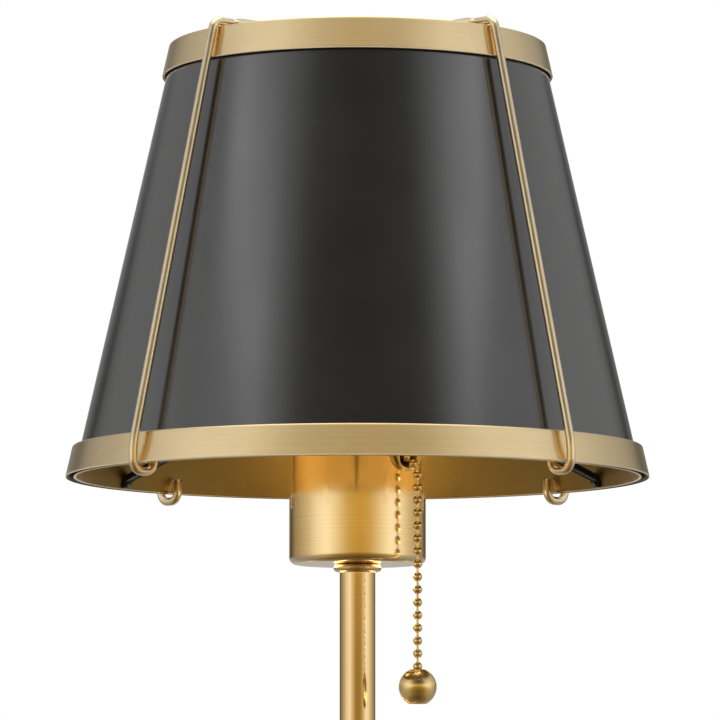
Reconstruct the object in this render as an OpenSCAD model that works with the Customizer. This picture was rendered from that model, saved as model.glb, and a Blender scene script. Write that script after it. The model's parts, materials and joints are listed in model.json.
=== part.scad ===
// Wall sconce: a tapered metal shade in a cage of four bent rods, a pull-chain
// socket cup on a slender stem, and a round wall plate on a box crossbar.
// Millimetres. The origin is the middle of the wall screw pattern, on the wall.
// +Z is up and -Y points into the room. Head parts count height from the shade's rim.

/* [Shade] */
// Outer diameter of the painted cone at its lower edge
shade_d = 198; // [180:1:230]
// Outer diameter of the painted cone at its upper edge
shade_top_d = 129.4; // [112:0.2:150]
// Height of the shade over both bands
shade_h = 152; // [140:1:190]
// Sheet thickness of the cone
shade_wall = 0.8; // [0.6:0.1:1.2]
// Height of the upper band
top_band_h = 11; // [8:0.5:16]
// Height of the lower band
low_band_h = 10.7; // [9:0.1:16]
// Sheet thickness of both bands
band_wall = 1; // [0.8:0.1:1.4]
// Air between the cone and the upper band
top_band_gap = 0.5; // [0.3:0.1:1.5]
// Air between the cone and the lower band
low_band_gap = 1.8; // [1:0.1:3]
// Width of the lip that the upper band folds over the cone's edge
top_lip_w = 4; // [2.5:0.5:8]

/* [Cage] */
// Diameter of the bent rods
strap_d = 3; // [2.4:0.1:4]
// Air between a rod and the upper band
strap_top_gap = 0.4; // [0.3:0.1:1.5]
// Air between a rod and the lower band
hook_gap = 0.3; // [0.2:0.05:0.8]
// Air between a hook's inner end and the cone
hook_back = 1; // [0.8:0.1:2]
// Air under the rim inside a hook
hook_drop = 1.3; // [0.8:0.1:4]
// Height of a hook's inner end above the rim
hook_tip = 5; // [3:0.5:6]
// Centre-line radius of the rod's upper bend
strap_bend = 3.5; // [2.5:0.5:6]
// Centre-line radius of the rod's lower bend
strap_knee = 30; // [10:1:34]
// Height of that lower bend above the hook's bend
knee_rise = 5.4; // [4:0.2:12]
// How far a rod reaches in over the upper band
strap_inset = 7; // [6:0.5:10]
// Bare thread between a rod and its bar
neck_gap = 1.5; // [0.8:0.1:3]
// Diameter of that thread
neck_d = 2.4; // [1.8:0.1:3]
// Depth of the thread in the bar
neck_in = 7; // [5:0.5:12]
// Width of the cross bars
bar_w = 5; // [4:0.5:8]
// Height of the cross bars
bar_h = 3.2; // [2.8:0.1:5]
// Air between the bars and the upper band
bar_gap = 0.3; // [0.1:0.1:1]
// Diameter of the screw where the bars cross
cross_screw_d = 3.4; // [3:0.1:4]

/* [Spider] */
// Inner diameter of the ring that sits on the socket
spider_bore = 40; // [39.6:0.1:44]
// Outer diameter of that ring
spider_ring_d = 50; // [46:1:56]
// Thickness of the ring and the arms
spider_t = 2.2; // [1.2:0.1:2.4]
// Width of an arm
spider_w = 4; // [2.6:0.2:6]
// Height of the tab at an arm's outer end
tab_h = 4.4; // [4.2:0.2:8]
// Thickness of the tab
tab_t = 1.2; // [0.8:0.1:1.8]
// Diameter of the rivets
rivet_d = 1.3; // [1.2:0.1:1.5]

/* [Socket cup] */
// Outer diameter of the cup
cup_d = 47.6; // [46:0.2:54]
// Depth of the cup below the shade's rim
cup_drop = 30; // [28:0.5:45]
// Height of the cup's edge above the shade's rim
cup_rise = 30; // [29:0.5:40]
// Wall of the cup
cup_wall = 1.2; // [0.8:0.1:2]
// Radius of the cup's lower corner
cup_round = 2.4; // [1.3:0.1:2.8]
// Diameter of the bead collar under the cup and on the wall plate
collar_d = 16.7; // [14:0.1:20]
// Height of the bead collar
collar_h = 2.6; // [2:0.1:4]
// Diameter of the mouth of the chain bell
bell_d = 11.6; // [11:0.1:12.4]
// Bore of the chain bell's throat
bell_bore = 8.4; // [8:0.1:8.6]
// Sheet thickness of the chain bell
bell_wall = 0.6; // [0.4:0.1:0.8]
// How far the bell's mouth stands off the cup
bell_reach = 2.5; // [2:0.1:4]
// Height of the mouth's centre above the rim
bell_z = 7; // [6.5:0.1:7.4]
// Downward tilt of the bell
bell_tilt = 15; // [12:1:16]

/* [Socket] */
// Air between the cup and the switch housing
housing_gap = 2.6; // [2:0.1:4]
// Wall of the switch housing
housing_wall = 2.5; // [2:0.1:3]
// Depth of the housing's floor below the rim
housing_drop = 10; // [9:0.5:14]
// Height of the housing above the rim
housing_rise = 17; // [16.5:0.5:19]
// Diameter of the threaded skirt that carries the shade
skirt_d = 39; // [38:0.1:39.4]
// Bore of the threaded skirt
skirt_bore = 30; // [29.6:0.1:32]
// Thickness of the skirt's flange on the cup
flange_t = 1.5; // [1:0.1:3]
// Height of the skirt above its flange
skirt_rise = 13; // [9:0.5:16]
// Height of the ring nut
ring_nut_h = 5.5; // [4:0.5:7]
// Outer diameter of the ring nut
ring_nut_d = 50; // [46:1:56]
// Diameter of the bulb's screw cap
cap_d = 26; // [25.6:0.05:26.2]
// Clear air around the screw cap in its shell
cap_gap = 0.1; // [0.05:0.05:0.3]
// Sheet thickness of the screw shell
shell_wall = 0.5; // [0.4:0.1:0.6]
// Depth of the rolled thread
thread_depth = 0.5; // [0.3:0.1:0.6]
// Lead of the rolled thread
thread_pitch = 3.629; // [3.5:0.001:3.7]
// Turns of thread
thread_turns = 6; // [5:1:6]
// Diameter of the bulb
bulb_d = 60; // [45:1:66]
// Length of the glass above the screw cap
bulb_h = 77; // [74:1:79]
// Thickness of the glass
bulb_wall = 0.8; // [0.6:0.1:1.2]

/* [Pull chain] */
// Diameter of a bead
bead_d = 3.2; // [2.8:0.1:3.4]
// Spacing of the beads
bead_pitch = 4.4; // [4.2:0.05:4.6]
// Diameter of the wire between the beads
link_d = 0.8; // [0.7:0.1:1]
// Wall of a bead
bead_wall = 0.4; // [0.3:0.05:0.5]
// Beads that hang below the bell
bead_count = 16; // [8:1:24]
// Distance of the hanging chain from the cup
chain_off = 6.2; // [5.8:0.1:8]
// Depth of the first hanging bead below the rim
chain_drop = 0.3; // [0.1:0.1:1.2]
// Diameter of the ball at the chain's end
ball_d = 13; // [10:0.5:20]
// Diameter of the flat under the ball
ball_flat = 6; // [5:0.5:8]
// How far the last bead sinks into the ball
ball_sink = 0.7; // [0.5:0.1:0.9]
// Travel of the chain
pull_travel = 8.8; // [8.4:0.1:9.2]
// Diameter of the switch pin
pin_d = 2.4; // [2:0.1:3]
// Thickness of the pull lever's arm
lever_t = 1.5; // [1:0.1:1.6]
// Width of the pull lever
lever_w = 6; // [5:0.5:7]
// Diameter of the switch cam
cam_d = 11; // [9:0.5:11]
// Length of the switch cam
cam_w = 5; // [4:0.5:5]
// Wire of the return spring
spring_wire = 0.7; // [0.5:0.05:0.8]
// Turns of the return spring
spring_turns = 4; // [3:1:5]

/* [Stem and arm] */
// Diameter of the stem and the arm
tube_d = 12.4; // [12.4:0.1:15]
// Wall of the stem and the arm
tube_wall = 1.3; // [1:0.1:1.3]
// Height of the shade's rim above the arm
rim_z = 150; // [135:1:220]
// Distance from the wall to the stem
reach = 130; // [120:1:180]
// Diameter of the threaded nipples
nipple_d = 9.7; // [9.2:0.1:9.7]
// Bore of the threaded nipples
nipple_bore = 6.5; // [6:0.1:7]
// Depth of a nipple in its tube
nipple_in = 22; // [14:1:30]
// Hexagon of the locknuts, across the flats
nut_af = 14; // [13:0.5:16]
// Height of the locknuts
nut_h = 3.6; // [2.5:0.1:5]
// Diameter of the hub that joins stem and arm
hub_d = 22; // [20:0.5:30]
// Height of the hub
hub_h = 28; // [26:1:40]
// Depth of the stem's seat in the hub
hub_seat = 7; // [5:0.5:9]
// Wire passage through the hub
hub_bore = 8.6; // [8:0.1:9]
// Diameter of the button under the hub
finial_d = 15; // [12:0.5:20]
// Height of that button
finial_h = 5; // [4:0.5:9]
// Diameter of the set screw in the hub
grub_d = 3; // [2.5:0.1:3.4]

/* [Wall plate] */
// Depth of the wall plate
plate_depth = 22; // [20:0.5:30]
// Wall of the plate
plate_wall = 1.2; // [1:0.1:2]
// Radius of the plate's front edge
plate_round = 8; // [4:0.5:12]
// Width of the rim that lies on the wall
plate_rim = 6; // [4:0.5:7]
// Length of the crossbar
crossbar_l = 104; // [98:1:112]
// Room between the crossbar's ends and that rim
crossbar_room = 2.3; // [1:0.1:5]
// Width of the crossbar
crossbar_w = 16; // [14:0.5:20]
// Thickness of the crossbar
crossbar_t = 1.6; // [1.2:0.1:2.5]
// Distance between the box screws
box_spacing = 88.9; // [83:0.1:90]
// Diameter of the box screw holes
box_hole_d = 4.6; // [4.2:0.1:5]
// Distance between the plate's studs
stud_spacing = 56; // [44:1:64]
// Diameter of the studs
stud_d = 4.2; // [3.5:0.1:5]
// Diameter of the cap nuts
cap_nut_d = 9; // [8:0.5:12]
// Height of the cap nuts
cap_nut_h = 8; // [7:0.5:12]
// Insulation diameter of the wires
wire_d = 2; // [1.6:0.1:2.1]

/* [Clearances] */
// Radial room in threaded and pressed seats
seat_gap = 0.1; // [0.05:0.05:0.2]
// Radial room on the switch pin
run_gap = 0.05; // [0.03:0.01:0.08]
// Radial room of the chain bell in the cup's hole
bell_room = 0.35; // [0.35:0.05:0.6]
// Room beside the pull lever in the housing's window
lever_room = 0.6; // [0.3:0.1:1.2]

/* [Hidden] */
$fn = 72;
BRASS = [0.72, 0.56, 0.32];
BRIGHT = [0.80, 0.64, 0.36];
BLACK = [0.06, 0.06, 0.07];
STEEL = [0.60, 0.61, 0.62];
PHENOLIC = [0.16, 0.13, 0.11];
CERAMIC = [0.90, 0.89, 0.85];
GLASS = [0.98, 0.94, 0.84];
CROSS_AZ = 45;
SPIDER_AZ = [30, 150, 270];
PULL_AZ = -45;

// Radii of the cone and what follows it, at a height above the rim
taper = (shade_d - shade_top_d) / 2 / shade_h;
function cone_r(z) = shade_d / 2 - taper * z;
function top_band_r(z) = cone_r(z) + top_band_gap + band_wall;
function low_band_r(z) = cone_r(z) + low_band_gap + band_wall;

// Cage: rod centre lines in radius and height
strap_r = strap_d / 2;
strap_top = shade_h + bar_gap + max(bar_h, strap_d) / 2;
leg_out = low_band_r(0) + hook_gap + strap_r;
leg_in = cone_r(hook_tip) - shade_wall - hook_back - strap_r;
hook_bend = 0.8 * (leg_out - leg_in) / 2;
hook_z = hook_bend - strap_r - hook_drop;
knee_z = hook_z + knee_rise;
strap_end = top_band_r(shade_h) - strap_inset;
bar_end = strap_end - neck_gap;
leg_top = top_band_r(shade_h) + (strap_top_gap + strap_r) * 1.03;
leg_slope = (leg_out - leg_top) / (shade_h - knee_z);
strap_tilt = atan(leg_slope);
corner_r = leg_top - leg_slope * (strap_top - shade_h);
function arc2(c, r, a0, a1, n) = [for (k = [0 : n])
    let (a = a0 + (a1 - a0) * k / n) c + r * [cos(a), sin(a)]];
STRAP = concat(
    [[strap_end, strap_top]],
    arc2([corner_r - strap_bend * tan(45 - strap_tilt / 2), strap_top - strap_bend],
        strap_bend, 90, strap_tilt, 5),
    arc2([leg_out - strap_knee, knee_z - strap_knee * tan(strap_tilt / 2)],
        strap_knee, strap_tilt, 0, 3),
    arc2([leg_out - hook_bend, hook_z], hook_bend, 0, -90, 6),
    arc2([leg_in + hook_bend, hook_z], hook_bend, -90, -180, 6),
    [[leg_in, hook_tip]]
);
bar_z = shade_h + bar_gap;
cross_head_d = 2 * cross_screw_d;
cross_head_h = 0.6 * cross_screw_d;

// Cup, housing and skirt
cup_r = cup_d / 2;
floor_z = cup_wall - cup_drop;
housing_r = cup_r - cup_wall - housing_gap;
housing_in = housing_r - housing_wall;
floor_t = 2;
wire_hole = nipple_bore + 2;
boss_z = floor_z + nut_h;
disc_t = 3;
shell_z = housing_rise + disc_t;
flange_z = cup_rise;
ring_z = flange_z + flange_t;
skirt_top = ring_z + skirt_rise;
shell_in = cap_d / 2 + cap_gap + thread_depth;
cap_z = shell_z + 6;
cap_l = thread_turns * thread_pitch;
glass_z = cap_z + cap_l;
tip_z = shell_z + 2;

// Spider: the ring lies on the flange, and arms a little thinner fall to tabs on the cone
tab_z = 0.4;
tab_top = tab_z + tab_h;
arm_in = spider_ring_d / 2 - 1;
arm_bend = arm_in + 4;
arm_inset = 0.1;
arm_low = ring_z + arm_inset;
arm_z = ring_z + spider_t - arm_inset;
function tab_r(z) = cone_r(z) - shade_wall - seat_gap;
arm_slope = (arm_z - tab_top) / (tab_r(tab_top) - arm_bend);
arm_foot = tab_top - spider_t + arm_slope * tab_t;
rivet_z = (tab_z + arm_foot) / 2;
rivet_head = 1.7 * rivet_d;
rivet_in = (shade_wall + seat_gap + tab_t) * cos(atan(taper));

// Pull chain: bead centres in radius and height, counted from the first hanging bead
bead_r = bead_d / 2;
chain_r = cup_r + chain_off;
LEAD_A = 24;
THROAT_A = 36;
MOUTH_A = 60;
LEAD = [cos(LEAD_A), -sin(LEAD_A)];
B0 = [chain_r, -chain_drop];
BT1 = B0 - bead_pitch * [cos(MOUTH_A), -sin(MOUTH_A)];
BT2 = BT1 - bead_pitch * [cos(THROAT_A), -sin(THROAT_A)];
BL1 = BT2 - bead_pitch * LEAD;
BL2 = BL1 - bead_pitch * LEAD;
BL3 = BL2 - 2 * bead_pitch * LEAD;
stub_l = 0.35;
ball_top = -chain_drop - (bead_count - 1) * bead_pitch - bead_r - seat_gap + ball_sink;
ball_c = ball_top - ball_d / 2 + 0.5;
flat_z = ball_c - sqrt(pow(ball_d / 2, 2) - pow(ball_flat / 2, 2));

// Switch: the lever turns about a pin on the bisector of its tip's travel
lever_l = 11.5;
tip_mid = BL3 + LEAD * pull_travel / 2;
pivot = tip_mid - sqrt(pow(lever_l, 2) - pow(pull_travel / 2, 2)) * [sin(LEAD_A), cos(LEAD_A)];
lever_rest = atan2(BL3[0] - pivot[0], BL3[1] - pivot[1]);
lever_back = bead_r + 0.3;
pin_l = 2 * (sqrt(pow(housing_in, 2) - pow(pivot[0], 2)) + 1.2);
terminal_x = -7;
terminal_y = 6.7;
terminal_d = 6;
leaf_t = 0.6;
leaf_gap = 0.3;
cam_y = lever_w / 2 + 1.2;

// Wall side: h counts outwards from the wall
plate_d = crossbar_l + 2 * (crossbar_room + plate_rim);
arm_h0 = plate_depth + collar_h;
arm_h1 = reach - hub_d / 2 + hub_seat - 1;
nipple_h0 = plate_depth - plate_wall - nut_h - 4;
connector_l = 15;
connector_d = 9;
connector_z = -15;
connector_x = 5.5;
connector_h = 8.5;
ground_x = 15;

// Wire routes in the world, from the wire connector to the socket's terminal
WIRE_X = 1.4;
function wire_path(s, end_a, end_b) = [
    [s * connector_x, -connector_h, connector_z - 6],
    [s * connector_x, -connector_h, connector_z + 3],
    [s * connector_x * 0.9, -connector_h, -8],
    [s * connector_x * 0.6, -connector_h - 1, -4],
    [s * 2, -connector_h - 3.5, -1],
    [s * WIRE_X, -connector_h - 7, 0],
    [s * WIRE_X, -reach / 2, 0],
    [s * WIRE_X, 5 - reach, 0],
    [s * WIRE_X, 3.1 - reach, 0.4],
    [s * WIRE_X, 1.5 - reach, 1.5],
    [s * WIRE_X, 0.4 - reach, 3.1],
    [s * WIRE_X, -reach, 5],
    [s * WIRE_X, -reach, rim_z / 2],
    [s * WIRE_X, -reach, rim_z - housing_drop],
    [end_a[0], end_a[1] - reach, rim_z - housing_drop + floor_t + 1.2],
    [end_b[0], end_b[1] - reach, rim_z - housing_drop + floor_t + leaf_t + wire_d / 2 + 0.2]
];
function local_xy(x, y) = [x * cos(PULL_AZ) - y * sin(PULL_AZ), x * sin(PULL_AZ) + y * cos(PULL_AZ)];
END_A = local_xy(terminal_x, terminal_y);
END_B = local_xy(terminal_x, -terminal_y);
wire_stop = 1 - (terminal_d / 2 + 0.4) / norm(END_A);

// Frames

// Height from the shade's rim, on the stem's axis
module head() {
    translate([0, -reach, rim_z]) children();
}

// The same, with X pointing along the chain bell
module pull_side() {
    head() rotate([0, 0, PULL_AZ]) children();
}

// Z counts outwards from the wall
module wallward() {
    rotate([90, 0, 0]) children();
}

// Shared shapes

// A tube of the nominal bore and height
module pipe(d, bore, h) {
    difference() {
        cylinder(h = h, d = d);
        translate([0, 0, -1]) cylinder(h = h + 2, d = bore);
    }
}

// Revolved outline between two radius functions' values at two heights
module cone_shell(o0, i0, z0, o1, i1, z1) {
    rotate_extrude() polygon([[i0, z0], [o0, z0], [o1, z1], [i1, z1]]);
}

// A collar with a fully rounded edge
module bead_collar(d, h, bore) {
    difference() {
        union() {
            cylinder(h = h, d = d - h);
            translate([0, 0, h / 2]) rotate_extrude() translate([d / 2 - h / 2, 0]) circle(d = h);
        }
        translate([0, 0, -1]) cylinder(h = h + 2, d = bore);
    }
}

// A plain hexagon nut
module hex_nut(af, h, bore) {
    difference() {
        cylinder(h = h, d = af / cos(30), $fn = 6);
        translate([0, 0, -1]) cylinder(h = h + 2, d = bore);
    }
}

// A solid turned about Z with a rounded outer edge at the top
module domed(d, h, round) {
    cylinder(h = h - round, d = d);
    cylinder(h = h, d = d - 2 * round);
    translate([0, 0, h - round]) rotate_extrude() translate([d / 2 - round, 0]) circle(r = round);
}

// A round tube along space points, as one closed surface
function path_dir(p, i) = let (a = p[max(i - 1, 0)], b = p[min(i + 1, len(p) - 1)]) (b - a) / norm(b - a);
function side_of(t) = let (k = abs(t[0]) < 0.8 ? [1, 0, 0] : [0, 1, 0], s = cross(t, k)) s / norm(s);
function carry(s, t) = let (q = s - (s * t) * t) q / norm(q);
function sides(p, i, s) = i >= len(p) ? [] :
    let (n = carry(s, path_dir(p, i))) concat([n], sides(p, i + 1, n));

module sweep(p, d, n) {
    frame = sides(p, 0, side_of(path_dir(p, 0)));
    points = [for (i = [0 : len(p) - 1]) for (k = [0 : n - 1])
        p[i] + d / 2 * (cos(360 * k / n) * frame[i]
            + sin(360 * k / n) * cross(path_dir(p, i), frame[i]))];
    walls = [for (i = [0 : len(p) - 2]) for (k = [0 : n - 1])
        let (a = i * n + k, b = i * n + (k + 1) % n)
            each [[a, a + n, b], [b, a + n, b + n]]];
    last = (len(p) - 1) * n;
    caps = [for (k = [1 : n - 2]) each [[0, k, k + 1], [last, last + k + 1, last + k]]];
    polyhedron(points, concat(walls, caps));
}

// A hollow bead with a hole at each pole, axis along Z
module bead_shell() {
    difference() {
        sphere(d = bead_d);
        sphere(d = bead_d - 2 * bead_wall);
        cylinder(h = 2 * bead_d, d = link_d + 2 * seat_gap, center = true);
    }
}

// A wire with a head inside the bead at each end, hung from z to z - bead_pitch
module bead_link() {
    head_d = bead_d - 2 * bead_wall - 0.6;
    translate([0, 0, -bead_pitch]) cylinder(h = bead_pitch, d = link_d);
    for (z = [-bead_pitch + head_d / 2 - 0.35, -head_d / 2 + 0.35])
        translate([0, 0, z]) intersection() {
            sphere(d = head_d);
            cylinder(h = 0.7, d = head_d, center = true);
        }
}

// A solid bead whose poles lie across the plane of the pull
module solid_bead() {
    rotate([90, 0, 0]) sphere(d = bead_d);
}

// A bead with two short wire ends, in the plane of the pull
module turning_bead(at, a_in, a_out) {
    translate([at[0], 0, at[1]]) {
        solid_bead();
        for (a = [a_in + 180, a_out])
            rotate([0, -a, 0]) rotate([0, 90, 0]) cylinder(h = bead_r + stub_l, d = link_d);
    }
}

// A rolled thread's wavy outline from bottom to top
function wave(r, z0, n, depth) = [for (k = [0 : n * 8])
    [r + depth / 2 * (1 - cos(k * 45)), z0 + k * thread_pitch / 8]];
function reversed(v) = [for (k = [len(v) - 1 : -1 : 0]) v[k]];

// Wall plate

module wall_plate() {
    color(BRASS) wallward() difference() {
        domed(plate_d, plate_depth, plate_round);
        translate([0, 0, plate_wall])
            domed(plate_d - 2 * plate_wall, plate_depth - 2 * plate_wall, plate_round - plate_wall);
        translate([0, 0, -1]) cylinder(h = plate_wall + 2, d = plate_d - 2 * plate_rim);
        translate([0, 0, plate_wall]) cylinder(h = plate_depth, d = nipple_d + 2 * seat_gap);
        for (s = [-1, 1])
            translate([s * stud_spacing / 2, 0, plate_wall])
                cylinder(h = plate_depth, d = stud_d + 4 * seat_gap);
    }
}

module crossbar() {
    color(STEEL) wallward() difference() {
        translate([-crossbar_l / 2, -crossbar_w / 2, 0]) cube([crossbar_l, crossbar_w, crossbar_t]);
        for (s = [-1, 1]) {
            translate([s * box_spacing / 2, 0, -1]) cylinder(h = crossbar_t + 2, d = box_hole_d);
            translate([s * stud_spacing / 2, 0, -1])
                cylinder(h = crossbar_t + 2, d = stud_d + 2 * seat_gap);
        }
        translate([0, 0, -1]) cylinder(h = crossbar_t + 2, d = nipple_d);
        translate([ground_x, 0, -1]) cylinder(h = crossbar_t + 2, d = 3.4 + 2 * seat_gap);
    }
}

module plate_studs() {
    color(STEEL) wallward() for (s = [-1, 1])
        translate([s * stud_spacing / 2, 0, 0]) {
            cylinder(h = plate_depth + cap_nut_h - 2.5, d = stud_d);
            translate([0, 0, crossbar_t]) cylinder(h = 2, d = stud_d + 3.4);
        }
}

module cap_nuts() {
    color(BRASS) wallward() for (s = [-1, 1])
        translate([s * stud_spacing / 2, 0, plate_depth]) difference() {
            domed(cap_nut_d, cap_nut_h, cap_nut_d * 0.2);
            translate([0, 0, -1]) cylinder(h = cap_nut_h - 1, d = stud_d + 2 * seat_gap);
        }
}

module ground_screw() {
    color([0.25, 0.45, 0.25]) wallward() translate([ground_x, 0, 0]) {
        cylinder(h = crossbar_t, d = 3.4);
        translate([0, 0, crossbar_t]) domed(7, 2.4, 0.8);
    }
}

// Arm, hub and stem

module arm_collar() {
    color(BRASS) wallward() translate([0, 0, plate_depth])
        bead_collar(collar_d, collar_h, nipple_d + 2 * seat_gap);
}

module arm_tube() {
    color(BRASS) wallward() translate([0, 0, arm_h0])
        pipe(tube_d, tube_d - 2 * tube_wall, arm_h1 - arm_h0);
}

module arm_nipple() {
    color(STEEL) wallward() translate([0, 0, nipple_h0])
        pipe(nipple_d, nipple_bore, arm_h0 + nipple_in - nipple_h0);
}

module arm_locknut() {
    color(STEEL) wallward() translate([0, 0, plate_depth - plate_wall - nut_h])
        hex_nut(nut_af, nut_h, nipple_d + 2 * seat_gap);
}

module wire_connectors() {
    color([0.75, 0.45, 0.12]) for (s = [-1, 1])
        translate([s * connector_x, -connector_h, connector_z - connector_l]) difference() {
            cylinder(h = connector_l, d1 = connector_d * 0.7, d2 = connector_d);
            translate([0, 0, connector_l - 8]) cylinder(h = 9, d = wire_d + 2 * seat_gap);
        }
}

module live_wire() {
    color([0.10, 0.10, 0.10]) sweep(wire_path(1, END_A * 0.35 + [0.4, 0], END_A * wire_stop), wire_d, 8);
}

module neutral_wire() {
    color([0.92, 0.91, 0.88]) sweep(wire_path(-1, END_B * 0.35, END_B * wire_stop), wire_d, 8);
}

module hub_block() {
    seat_d = tube_d + 2 * seat_gap;
    color(BRASS) translate([0, -reach, 0]) difference() {
        union() {
            translate([0, 0, 0]) domed(hub_d, hub_h / 2, 2);
            mirror([0, 0, 1]) domed(hub_d, hub_h / 2, 2);
        }
        cylinder(h = 2 * hub_h, d = hub_bore, center = true);
        translate([0, 0, hub_h / 2 - hub_seat]) cylinder(h = hub_h, d = seat_d);
        translate([0, 0, -hub_h]) cylinder(h = hub_h / 2 + 7, d = nipple_d + 2 * seat_gap);
        rotate([-90, 0, 0]) cylinder(h = hub_d, d = hub_bore);
        translate([0, hub_d / 2 - hub_seat + 1, 0]) rotate([-90, 0, 0]) cylinder(h = hub_d, d = seat_d);
        translate([0, 0, hub_h / 2 - 3.5]) rotate([90, 0, 90]) cylinder(h = hub_d, d = grub_d + seat_gap);
    }
}

module hub_finial() {
    color(BRASS) translate([0, -reach, -hub_h / 2]) {
        cylinder(h = 6, d = nipple_d);
        mirror([0, 0, 1]) domed(finial_d, finial_h, finial_h * 0.45);
    }
}

module hub_grub() {
    color(STEEL) translate([tube_d / 2 + seat_gap, -reach, hub_h / 2 - 3.5])
        rotate([0, 90, 0]) cylinder(h = (hub_d - tube_d) / 2 - 0.8, d = grub_d - seat_gap);
}

module stem_tube() {
    color(BRASS) translate([0, -reach, hub_h / 2 - hub_seat])
        pipe(tube_d, tube_d - 2 * tube_wall, rim_z - cup_drop - collar_h - hub_h / 2 + hub_seat);
}

module stem_collar() {
    color(BRASS) head() translate([0, 0, -cup_drop - collar_h])
        bead_collar(collar_d, collar_h, nipple_d + 2 * seat_gap);
}

module stem_nipple() {
    color(STEEL) head() translate([0, 0, -cup_drop - collar_h - nipple_in])
        pipe(nipple_d, nipple_bore, cup_drop + collar_h + nipple_in - housing_drop - seat_gap);
}

// Socket

module cup_locknut() {
    color(STEEL) head() translate([0, 0, floor_z]) hex_nut(nut_af, nut_h, nipple_d + 2 * seat_gap);
}

module socket_cup() {
    color(BRASS) difference() {
        head() rotate_extrude() polygon(concat(
            [[nipple_d / 2 + seat_gap, floor_z], [nipple_d / 2 + seat_gap, -cup_drop]],
            arc2([cup_r - cup_round, cup_round - cup_drop], cup_round, -90, 0, 5),
            [[cup_r, cup_rise], [cup_r - cup_wall, cup_rise], [cup_r - cup_wall, floor_z]]
        ));
        bell_axis() translate([0, 0, -12]) cylinder(h = 14, d = bell_bore + 2 * (bell_wall + bell_room));
    }
}

// The bell's own frame: Z runs out of its mouth, from the mouth's plane
module bell_axis() {
    pull_side() translate([cup_r + bell_reach, 0, bell_z]) rotate([0, 90 + bell_tilt, 0]) children();
}

module chain_bell() {
    r0 = bell_bore / 2;
    r1 = bell_d / 2;
    back = -bell_reach - cup_wall - 1.6;
    color(BRASS) bell_axis() rotate_extrude() polygon([
        [r0, back],
        [r0 + bell_wall, back],
        [r0 + bell_wall, -2.4],
        [r0 + bell_wall + (r1 - r0 - bell_wall) * 0.25, -1.2],
        [r0 + bell_wall + (r1 - r0 - bell_wall) * 0.6, -0.4],
        [r1, 0],
        [r1 - bell_wall, 0.3],
        [r0 + (r1 - r0 - bell_wall) * 0.45, -0.4],
        [r0 + (r1 - r0 - bell_wall) * 0.1, -1.4],
        [r0, -2.4]
    ]);
}

module switch_housing() {
    color(PHENOLIC) pull_side() difference() {
        union() {
            translate([0, 0, -housing_drop]) cylinder(h = housing_drop + housing_rise, r = housing_r);
            translate([0, 0, boss_z]) cylinder(h = -boss_z - housing_drop, d = nipple_d + 7);
        }
        translate([0, 0, floor_t - housing_drop]) cylinder(h = housing_drop + housing_rise, r = housing_in);
        translate([0, 0, -cup_drop]) cylinder(h = cup_drop - housing_drop, d = nipple_d + 2 * seat_gap);
        translate([0, 0, -housing_drop - 1]) cylinder(h = floor_t + 2, d = wire_hole);
        translate([housing_in - 3, -lever_w / 2 - lever_room, BL1[1] - 3.2])
            cube([housing_wall + 6, lever_w + 2 * lever_room, 8.8]);
        translate([pivot[0], 0, pivot[1]])
            rotate([90, 0, 0]) cylinder(h = pin_l + 2 * seat_gap, d = pin_d + 2 * run_gap, center = true);
        for (s = [-1, 1])
            translate([terminal_x, s * terminal_y, -housing_drop - 1])
                cylinder(h = floor_t + 2, d = 3 + 2 * seat_gap);
    }
}

module terminal_screws() {
    color(BRIGHT) pull_side() for (s = [-1, 1])
        translate([terminal_x, s * terminal_y, -housing_drop]) {
            cylinder(h = floor_t + leaf_t, d = 3);
            translate([0, 0, floor_t + leaf_t]) cylinder(h = 2, d = terminal_d);
        }
}

// Spring strips: one from the live terminal to the cam, one on the cam's far side,
// and the neutral strip that climbs to the screw shell
module contact_leaves() {
    z0 = floor_t - housing_drop;
    near = pivot[0] - cam_d / 2 - leaf_gap - leaf_t;
    far = pivot[0] + cam_d / 2 + leaf_gap;
    hole_d = 3 + 2 * seat_gap;
    strip_x = terminal_x - terminal_d / 2 - leaf_gap - leaf_t;
    color(BRIGHT) pull_side() {
        difference() {
            union() {
                translate([terminal_x - 3, cam_y, z0]) cube([near - terminal_x + 3 + leaf_t, cam_w, leaf_t]);
                translate([near, cam_y, z0]) cube([leaf_t, cam_w, pivot[1] - z0 + 4]);
            }
            translate([terminal_x, terminal_y, z0 - 1]) cylinder(h = 4, d = hole_d);
        }
        translate([far, cam_y, z0]) cube([leaf_t, cam_w * 0.7, housing_rise - z0]);
        difference() {
            union() {
                translate([strip_x, -terminal_y - 2.5, z0]) cube([terminal_x + 3 - strip_x, 5, leaf_t]);
                translate([strip_x, -terminal_y - 2.5, z0]) cube([leaf_t, 5, housing_rise - z0]);
            }
            translate([terminal_x, -terminal_y, z0 - 1]) cylinder(h = 4, d = hole_d);
        }
    }
}

module lever_pin() {
    color(STEEL) pull_side() translate([pivot[0], 0, pivot[1]])
        rotate([90, 0, 0]) cylinder(h = pin_l, d = pin_d, center = true);
}

module pull_lever() {
    slit = link_d + 0.9;
    color(STEEL) pull_side() translate([pivot[0], 0, pivot[1]]) rotate([0, lever_rest, 0]) difference() {
        union() {
            rotate([90, 0, 0]) cylinder(h = lever_w, d = pin_d + 3.4, center = true);
            translate([lever_back - pin_d, -lever_w / 2, 0]) cube([pin_d + lever_t, lever_w, 3]);
            translate([lever_back, -lever_w / 2, 0]) cube([lever_t, lever_w, lever_l + 2.4]);
        }
        rotate([90, 0, 0]) cylinder(h = lever_w + 2, d = pin_d + 2 * run_gap, center = true);
        translate([lever_back - 1, -slit / 2, lever_l - 4.5]) cube([lever_t + 2, slit, 10]);
    }
}

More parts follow.
